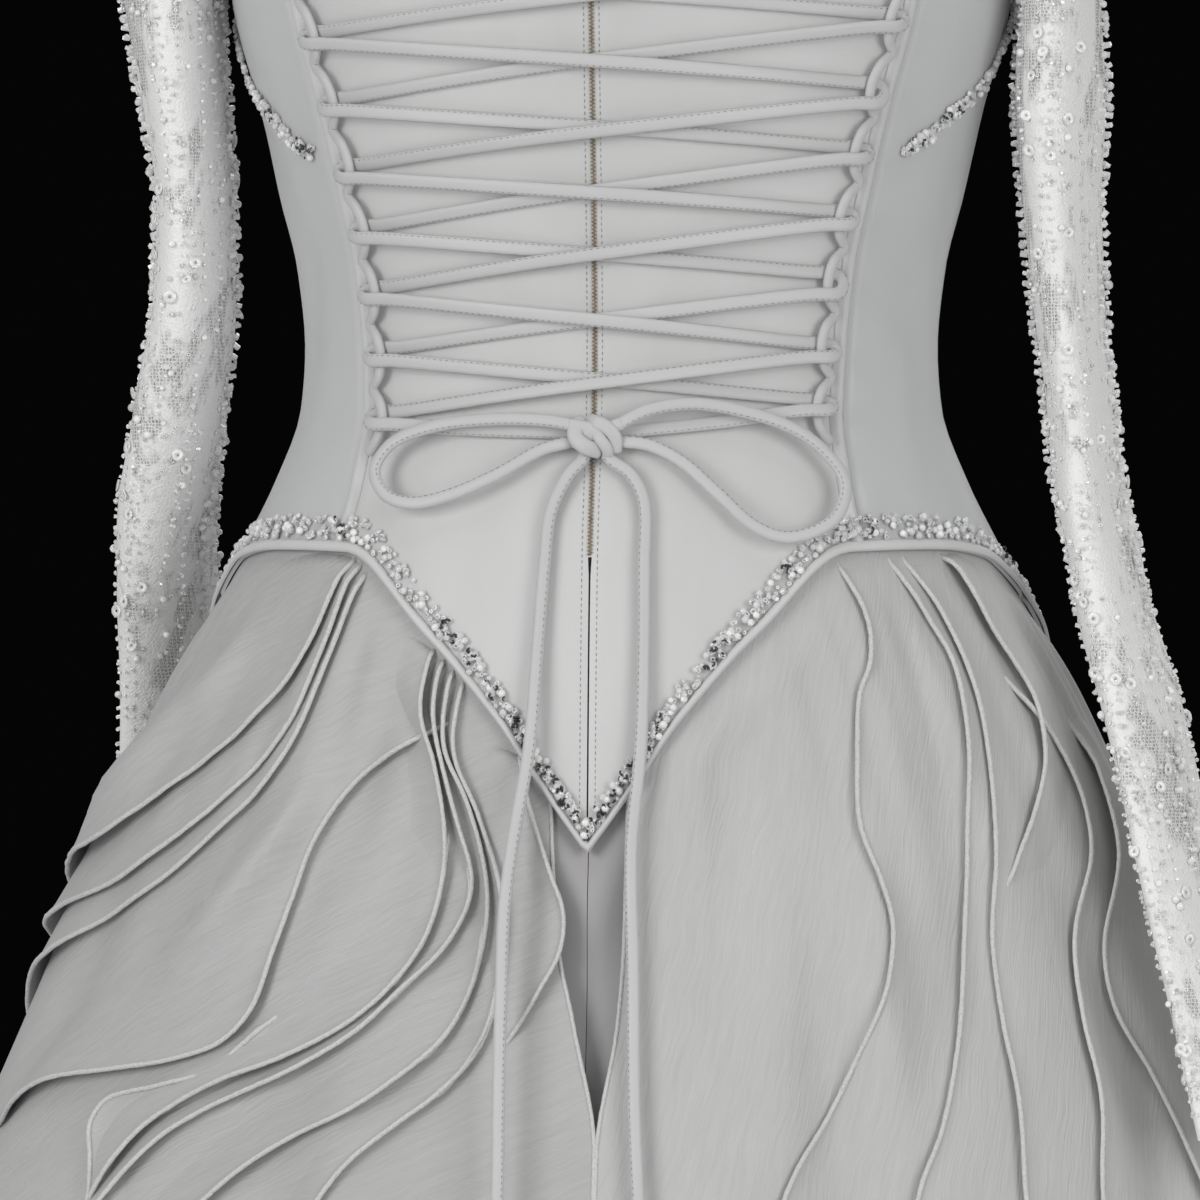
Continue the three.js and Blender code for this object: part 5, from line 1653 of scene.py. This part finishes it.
def build_knot():
    """The knot: a soft lump with the ends of the cord drawn round and over it."""
    low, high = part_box("bow_knot")
    centre, size = (low + high) / 2, high - low
    bpy.ops.object.select_all(action="DESELECT")
    bpy.ops.mesh.primitive_uv_sphere_add(segments=24, ring_count=14, radius=0.5, location=centre)
    knot = active_piece()
    knot.name = "bow_knot_cloth"
    edit_all()
    bpy.ops.transform.resize(value=(size.x * 0.98, size.y * 0.66, size.z * 0.92))
    close_mesh()
    fix_place()
    smooth(knot, 80)
    knot.data.materials.append(FINISH["rouleau"])
    turns = []
    for number, (route, width, thickness) in enumerate(KNOT_TURNS):
        route = smooth_route(np.array(route, float), 8)
        places = body(angle_at(route[:, 0], route[:, 1]), route[:, 1], route[:, 2])
        back = np.array([0.0, -1.0, 0.0]) + 0 * places
        turn, _, _ = tube(f"turn_{number}", places, back, width, thickness, FINISH["rouleau"], 14, 0.85,
                          0.02, number + 3)
        turns.append(turn)
    join_into(knot, turns)
    return settle(knot, replaces=["bow_knot"])


# Skirt, lining and flounces


def world_uv(place):
    """Cloth coordinates in millimetres that run level round the gown and straight down."""

    def read(u, v):
        angle, height = place(u, v)
        turn = signed(angle) if np.ptp(angle) > 300 else angle
        return np.stack([np.radians(turn) * half_across(height), height], axis=-1)

    return read


def skirt_place(start, end, hem, fall):
    def place(u, v):
        down = (1 - v) ** fall
        angle = start(-200.0 + 0 * u) + (end(-200.0 + 0 * u) - start(-200.0 + 0 * u)) * u
        for _ in range(4):
            top = basque_height(from_back(angle)) + 5
            height = top + (hem - top) * down
            angle = start(height) + (end(height) - start(height)) * u
        return angle, height

    return place


def skirt_edges():
    def seam(height):
        return SEAM / degree_length(90.0, height)

    return {
        "left": (lambda h: -90 + seam(h) / 2, lambda h: angle_at(slit_left(h), h)),
        "right": (lambda h: angle_at(slit_right(h), h), lambda h: 90 - seam(h) / 2),
        "front": (lambda h: 90 + seam(h) / 2, lambda h: 270 - seam(h) / 2),
        "lining_left": (lambda h: -90 + seam(h) / 2, lambda h: -SEAM / degree_length(0.0, h) / 2),
        "lining_right": (lambda h: SEAM / degree_length(0.0, h) / 2, lambda h: 90 - seam(h) / 2),
    }


def rolled_edge(name, places, out, width, seed):
    """A rolled hem: a narrow, slightly uneven cord of cloth along an edge."""
    piece, _, _ = tube(name, places, out, width, width * 0.92, FINISH["hem"], 6, 1.0, HEM_UNEVENNESS, seed)
    return settle(piece)


def build_skirt(context):
    sizes = context.scene.gown_sizes
    edges = skirt_edges()
    for name, key, columns, rows, finish in (
        # The back left overskirt takes the left organza, with its painted shade.
        ("overskirt_back_left", "left", 84, 60, "organza_left"),
        ("overskirt_back_right", "right", 84, 60, "organza_right"),
        ("overskirt_front", "front", 120, 36, "organza_low"),
    ):
        place = skirt_place(*edges[key], HEM_HEIGHT, 2.2)

        def point(u, v):
            return skirt_point(*place(u, v), 0.0)

        piece = cloth(f"{name}_cloth", point, columns, rows, sizes.organza_thickness, FINISH[finish],
                      cloth_uv=world_uv(place))
        settle(piece, replaces=[name])
        u = np.linspace(0.002, 0.998, 160)
        turn = place(u, 0 * u)[0]
        outward = body(turn, HEM_HEIGHT, 1.0) - body(turn, HEM_HEIGHT, 0.0)
        hem = rolled_edge(f"{name}_hem", point(u, 0 * u), outward, sizes.hem_roll / MM, 3)
        rolls = [hem]
        if key != "front":
            v = np.linspace(0.0, 0.99, 260)
            side = 1.0 if key == "left" else 0.0
            angle, height = place(side + 0 * v, v)
            line = skirt_point(angle, height, 0.0)
            rolls.append(rolled_edge(f"{name}_slit_edge", line, surface_normal(angle, height),
                                     sizes.hem_roll / MM * 0.8, 5))
        sheet_of(piece, rolls)


def build_lining(context):
    sizes = context.scene.gown_sizes
    edges = skirt_edges()
    for name, key, columns, rows in (
        ("underskirt_back_left", "lining_left", 44, 40),
        ("underskirt_back_right", "lining_right", 44, 40),
        ("underskirt_front", "front", 60, 28),
    ):
        place = skirt_place(*edges[key], HEM_HEIGHT + 18, 2.0)

        def point(u, v):
            angle, height = place(u, v)
            under = -2.0 - 8.0 * smoothstep(-height, 200, 560)
            below = basque_height(from_back(angle)) - height
            seam = -1.1 * np.exp(-((angle * degree_length(0.0, height) / 2.2) ** 2))
            slack = 1.1 * np.sin(np.radians(angle) * 26) * smoothstep(below, 10, 90)
            deeper = -8.0 * smoothstep(below, 8, 60)
            out = tucked_in(below) + godets_out(angle, height) + under + seam + slack + deeper
            return body(angle, height, out)

        piece = cloth(f"{name}_cloth", point, columns, rows, sizes.lining_thickness, FINISH["lining"],
                      cloth_uv=world_uv(place))
        settle(piece, replaces=[name])
        sheet_of(piece)


def hem_line(points):
    """Angle and height at even steps along a flounce's hem."""
    scale = (3.4, 1.0)
    return even_route(smooth_route(np.array(points, float) * scale, 10), 3.0) / scale


def flounce_place(line, shift, u, v):
    at = np.linspace(0, 1, len(line))
    angle = np.interp(u, at, line[:, 0]) + shift[0] * v
    ceiling = basque_height(from_back(angle)) - 0.3 - 0.8 * (1 - v)
    height = np.clip(np.interp(u, at, line[:, 1]) + shift[1] * v, HEM_HEIGHT + 2, ceiling)
    return angle, height


def flounce_out(number, long, start, first, last, angle, height, u, v):
    """How far a flounce stands off the skirt: lifted along its hem and let down softly to its sewn edge."""
    below = basque_height(from_back(angle)) - height
    ends = smoothstep(u, -0.3 * start, start)
    if not long:
        ends = ends * (1 - smoothstep(u, 0.82, 1))
    ends = ends * smoothstep(below, -5, 9)
    standing = first + (last - first) * smoothstep(u, 0.1, 0.75)
    length = 900.0 if long else 260.0
    wave = np.sin(u * length / 13 + number * 1.9) + 0.7 * np.sin(u * length / 31 + number * 0.7)
    curl = 0.9 * np.exp(-((v / 0.07) ** 2))
    swell = (0.5 + 0.5 * np.cos(np.pi * v**0.8)) * standing
    swell = swell + (curl + 0.16 * standing * wave * (1 - v)) * (1 - v)
    return -1.5 + (swell + 1.2) * ends


def build_flounces(context):
    sizes = context.scene.gown_sizes
    for number, (name, points, shift, first, last) in enumerate(FLOUNCES):
        long = points[-1][1] < -1000
        bundle = name.startswith("fold")
        columns, rows = (128, 10) if long else (76, 7) if bundle else (96, 12)
        # The left flounces and the fold bundles take the left organza, with its painted shade.
        finish = "organza_left" if "left" in name or bundle else "organza_right"
        line = hem_line(points)
        tucked = points[0][1] > float(basque_height(from_back(points[0][0]))) - 14
        start = 0.02 if long or tucked else 0.07

        def point(u, v):
            angle, height = flounce_place(line, shift, u, v)
            out = flounce_out(number, long, start, first, last, angle, height, u, v)
            return skirt_point(angle, height, out)

        stretch = 1.6 if long else 1.0
        piece = cloth(f"{name}_cloth", point, columns, rows, sizes.organza_thickness, FINISH[finish],
                      us=np.linspace(0, 1, columns + 1) ** stretch, vs=np.linspace(0, 1, rows + 1) ** 1.3,
                      cloth_uv=world_uv(lambda u, v: flounce_place(line, shift, u, v)))
        settle(piece, replaces=[name])
        u = np.linspace(0.0, 1.0, 330 if long else 120 if bundle else 165) ** stretch
        angle, height = flounce_place(line, shift, u, 0 * u)
        width = sizes.hem_roll / MM * (0.86 if bundle else 1.0)
        hem = rolled_edge(f"{name}_hem", point(u, 0 * u), surface_normal(angle, height), width, number + 60)
        sheet_of(piece, [hem])


# Stage

# The camera's turn round the gown, distance, and the width, sideways shift and height of what it sees
CAMERA_TURN = math.radians(6.5)
CAMERA_DISTANCE = 6.0
SENSOR_WIDTH = 36.0
FRAME_WIDTH = 0.456
FRAME_RIGHT = -0.008
FRAME_HEIGHT = -0.095
FLOOR_RADIUS = 2.4
HEM_CLEARANCE = 0.0045
BACKDROP_LIGHT = 0.0015


def soft_light(name, place, aim, size, power):
    lamp = bpy.data.lights.new(name, "AREA")
    lamp.shape = "RECTANGLE"
    lamp.size, lamp.size_y = size
    lamp.energy = power
    light = bpy.data.objects.new(name, lamp)
    light.location = place
    light.rotation_euler = (Vector(aim) - Vector(place)).to_track_quat("-Z", "Y").to_euler()
    bpy.context.scene.collection.objects.link(light)


def build_stage(context):
    """Camera at the photograph's angle, pale floor, soft studio light and a dark backdrop."""
    sizes = context.scene.gown_sizes
    scene = context.scene
    back = Vector((math.sin(CAMERA_TURN), -math.cos(CAMERA_TURN), 0))
    right = Vector((math.cos(CAMERA_TURN), math.sin(CAMERA_TURN), 0))
    camera = bpy.data.cameras.new("view")
    camera.sensor_width = SENSOR_WIDTH
    camera.lens = SENSOR_WIDTH * CAMERA_DISTANCE / FRAME_WIDTH
    camera.clip_start, camera.clip_end = 0.1, 60.0
    eye = bpy.data.objects.new("view", camera)
    eye.location = right * FRAME_RIGHT + back * CAMERA_DISTANCE + Vector((0, 0, FRAME_HEIGHT))
    eye.rotation_euler = (-back).to_track_quat("-Z", "Y").to_euler()
    scene.collection.objects.link(eye)
    scene.camera = eye
    bpy.ops.object.select_all(action="DESELECT")
    bpy.ops.mesh.primitive_circle_add(vertices=96, radius=FLOOR_RADIUS, fill_type="NGON",
                                      location=(0, 0, HEM_HEIGHT * MM - HEM_CLEARANCE))
    floor = active_piece()
    floor.name = "floor"
    edit_all()
    bpy.ops.mesh.extrude_region_move(TRANSFORM_OT_translate={"value": (0, 0, -0.03)})
    close_mesh()
    fix_place()
    material, made, shader = new_material("floor", 0.75)
    cloud = made.noise(object_place(made), 3.0, 3.0)
    mix_colour(made, cloud, (0.66, 0.66, 0.67), (0.7, 0.7, 0.71), shader.inputs["Base Color"])
    floor.data.materials.append(material)
    power = sizes.light_power
    soft_light("key_light", (-1.9, -2.7, 0.55), (0, 0, -0.1), (1.5, 1.9), power)
    soft_light("fill_light", (2.2, -2.5, 0.3), (0, 0, -0.1), (1.4, 1.9), power * 0.8)
    soft_light("top_light", (0, -0.6, 2.6), (0, 0, 0), (1.8, 1.8), power * 0.3)
    soft_light("back_light", (0.3, 2.9, 1.4), (0, 0, 0), (2.2, 1.8), power * 0.45)
    world = bpy.data.worlds.new("studio")
    world.use_nodes = True
    scene.world = world
    made = Nodes(world.node_tree)
    ground = world.node_tree.nodes["Background"]
    ground.inputs["Color"].default_value = (1, 1, 1, 1)
    seen = made.add("ShaderNodeLightPath").outputs["Is Camera Ray"]
    made.join(made.spread(seen, 0, 1, sizes.room_light, BACKDROP_LIGHT), ground.inputs["Strength"])
    scene.view_settings.view_transform = "Standard"


# Settings, operators and panel


class GownSizes(bpy.types.PropertyGroup):
    """Sizes of the cloth, beads and light."""

    satin_thickness: bpy.props.FloatProperty(
        name="Satin thickness", description="Wall of the bodice's cloth", default=0.0014, min=0.0005,
        unit="LENGTH", precision=4)
    organza_thickness: bpy.props.FloatProperty(
        name="Organza thickness", description="Wall of the overskirt and flounces", default=0.0009,
        min=0.0003, unit="LENGTH", precision=4)
    lining_thickness: bpy.props.FloatProperty(
        name="Lining thickness", description="Wall of the lining", default=0.001, min=0.0003, unit="LENGTH",
        precision=4)
    net_thickness: bpy.props.FloatProperty(
        name="Net thickness", description="Wall of the sleeves and tapes", default=0.0005, min=0.0002,
        unit="LENGTH", precision=4)
    hem_roll: bpy.props.FloatProperty(
        name="Rolled hem", description="Width of the flounces' rolled hems", default=0.0021, min=0.001,
        unit="LENGTH", precision=4)
    bead_density: bpy.props.FloatProperty(
        name="Bead density", description="Beads for each millimetre of the bodice's bead band", default=1.8,
        min=0.2, max=3.0)
    light_power: bpy.props.FloatProperty(
        name="Studio light", description="Power of the key light in watts", default=40.0, min=0.0)
    room_light: bpy.props.FloatProperty(
        name="Room light", description="Strength of the even light from all round", default=0.36, min=0.0)


def colour_property(title, note, value):
    return bpy.props.FloatVectorProperty(name=title, description=note, subtype="COLOR", size=3,
                                         min=0.0, max=1.0, default=value)


class GownColours(bpy.types.PropertyGroup):
    """Colours of the gown's cloths, beads and metal."""

    satin: colour_property("Satin", "Centre back and front of the bodice", (0.64, 0.64, 0.635))
    side_satin: colour_property("Side satin", "Side panels of the bodice", (0.58, 0.584, 0.589))
    rouleau: colour_property("Rouleau", "Laces, loops and bow", (0.59, 0.59, 0.588))
    lining: colour_property("Lining", "Plain skirt under the organza", (0.44, 0.43, 0.44))
    organza: colour_property("Organza", "Overskirt and flounces", (0.54, 0.54, 0.535))
    hem: colour_property("Rolled hem", "Thread-wound edges of the organza", (0.66, 0.66, 0.65))
    net: colour_property("Net", "Net and lace of the sleeves", (0.87, 0.87, 0.86))
    pearl: colour_property("Pearls", "Pearls and sequins", (0.93, 0.925, 0.91))
    clear_bead: colour_property("Clear beads", "Crystals and clear beads", (0.93, 0.93, 0.925))
    seed_bead: colour_property("Seed beads", "Small white beads", (0.92, 0.92, 0.91))
    foil: colour_property("Dark foil", "Dark flecks between the beads", (0.035, 0.045, 0.045))
    thread: colour_property("Thread", "Stitches", (0.3, 0.3, 0.3))
    zip_tape: colour_property("Zip tape", "Tape behind the zip", (0.72, 0.68, 0.6))
    zip_teeth: colour_property("Zip teeth", "Zip's teeth", (0.24, 0.19, 0.14))
    zip_metal: colour_property("Zip metal", "Slider and pull tab", (0.62, 0.6, 0.57))


class GOWN_OT_stage(bpy.types.Operator):
    """Add the camera, the floor and the studio light"""

    bl_idname = "gown.stage"
    bl_label = "Stage"
    bl_options = {"REGISTER", "UNDO"}

    def execute(self, context):
        build_stage(context)
        return {"FINISHED"}


class GOWN_OT_bow(bpy.types.Operator):
    """Add the bow's knot, loops and hanging tails"""

    bl_idname = "gown.bow"
    bl_label = "Bow"
    bl_options = {"REGISTER", "UNDO"}

    def execute(self, context):
        build_bow(context)
        return {"FINISHED"}


class GOWN_OT_lacing(bpy.types.Operator):
    """Add the scalloped loops and both halves of the lace"""

    bl_idname = "gown.lacing"
    bl_label = "Lacing"
    bl_options = {"REGISTER", "UNDO"}

    def execute(self, context):
        build_loops(context)
        build_laces(context)
        return {"FINISHED"}


class GOWN_OT_binding(bpy.types.Operator):
    """Add the satin binding of the bodice's lower edge"""

    bl_idname = "gown.binding"
    bl_label = "Binding"
    bl_options = {"REGISTER", "UNDO"}

    def execute(self, context):
        build_binding(context)
        return {"FINISHED"}


class GOWN_OT_bead_trims(bpy.types.Operator):
    """Add the bead bands of the bodice"""

    bl_idname = "gown.bead_trims"
    bl_label = "Bead Trims"
    bl_options = {"REGISTER", "UNDO"}

    def execute(self, context):
        build_basque_beads(context)
        build_upper_trims(context)
        return {"FINISHED"}


class GOWN_OT_bodice(bpy.types.Operator):
    """Add the satin panels of the bodice"""

    bl_idname = "gown.bodice"
    bl_label = "Bodice"
    bl_options = {"REGISTER", "UNDO"}

    def execute(self, context):
        build_bodice(context)
        return {"FINISHED"}


class GOWN_OT_zip(bpy.types.Operator):
    """Add the zip's tape, teeth, stitches, slider and pull tab"""

    bl_idname = "gown.zip"
    bl_label = "Zip"
    bl_options = {"REGISTER", "UNDO"}

    def execute(self, context):
        build_zip(context)
        return {"FINISHED"}


class GOWN_OT_yokes(bpy.types.Operator):
    """Add the shoulder yokes"""

    bl_idname = "gown.yokes"
    bl_label = "Shoulder Yokes"
    bl_options = {"REGISTER", "UNDO"}

    def execute(self, context):
        build_yokes(context)
        return {"FINISHED"}


class GOWN_OT_sleeves(bpy.types.Operator):
    """Add the net sleeves and their beads"""

    bl_idname = "gown.sleeves"
    bl_label = "Sleeves"
    bl_options = {"REGISTER", "UNDO"}

    def execute(self, context):
        build_sleeves(context)
        return {"FINISHED"}


class GOWN_OT_overskirt(bpy.types.Operator):
    """Add the crinkled organza overskirt"""

    bl_idname = "gown.overskirt"
    bl_label = "Overskirt"
    bl_options = {"REGISTER", "UNDO"}

    def execute(self, context):
        build_skirt(context)
        return {"FINISHED"}


class GOWN_OT_lining(bpy.types.Operator):
    """Add the plain lining under the overskirt"""

    bl_idname = "gown.lining"
    bl_label = "Lining"
    bl_options = {"REGISTER", "UNDO"}

    def execute(self, context):
        build_lining(context)
        return {"FINISHED"}


class GOWN_OT_flounces(bpy.types.Operator):
    """Add the flounces and their rolled hems"""

    bl_idname = "gown.flounces"
    bl_label = "Flounces"
    bl_options = {"REGISTER", "UNDO"}

    def execute(self, context):
        build_flounces(context)
        return {"FINISHED"}


class GOWN_PT_panel(bpy.types.Panel):
    """Lists the gown's parts in the order in which they are built"""

    bl_idname = "GOWN_PT_panel"
    bl_label = "Ball Gown"
    bl_space_type = "VIEW_3D"
    bl_region_type = "UI"
    bl_category = "Gown"

    def draw(self, context):
        layout = self.layout
        for settings in (context.scene.gown_sizes, context.scene.gown_colours):
            box = layout.box()
            for title in settings.bl_rna.properties.keys():
                if title not in ("rna_type", "name"):
                    box.prop(settings, title)
        for operator in OPERATORS:
            layout.operator(operator.bl_idname)


OPERATORS = (
    GOWN_OT_stage,
    GOWN_OT_bow,
    GOWN_OT_lacing,
    GOWN_OT_binding,
    GOWN_OT_bead_trims,
    GOWN_OT_bodice,
    GOWN_OT_zip,
    GOWN_OT_yokes,
    GOWN_OT_sleeves,
    GOWN_OT_overskirt,
    GOWN_OT_lining,
    GOWN_OT_flounces,
)


CLASSES = (GownSizes, GownColours, *OPERATORS, GOWN_PT_panel)


def register():
    for kind in CLASSES:
        bpy.utils.register_class(kind)
    bpy.types.Scene.gown_sizes = bpy.props.PointerProperty(type=GownSizes)
    bpy.types.Scene.gown_colours = bpy.props.PointerProperty(type=GownColours)


def unregister():
    del bpy.types.Scene.gown_colours
    del bpy.types.Scene.gown_sizes
    for kind in reversed(CLASSES):
        bpy.utils.unregister_class(kind)


def main():
    register()
    make_materials()
    make_patterns()
    bpy.ops.gown.stage()
    bpy.ops.gown.bow()
    bpy.ops.gown.lacing()
    bpy.ops.gown.binding()
    bpy.ops.gown.bead_trims()
    bpy.ops.gown.bodice()
    bpy.ops.gown.zip()
    bpy.ops.gown.yokes()
    bpy.ops.gown.sleeves()
    bpy.ops.gown.overskirt()
    bpy.ops.gown.lining()
    bpy.ops.gown.flounces()


if __name__ == "__main__":
    main()
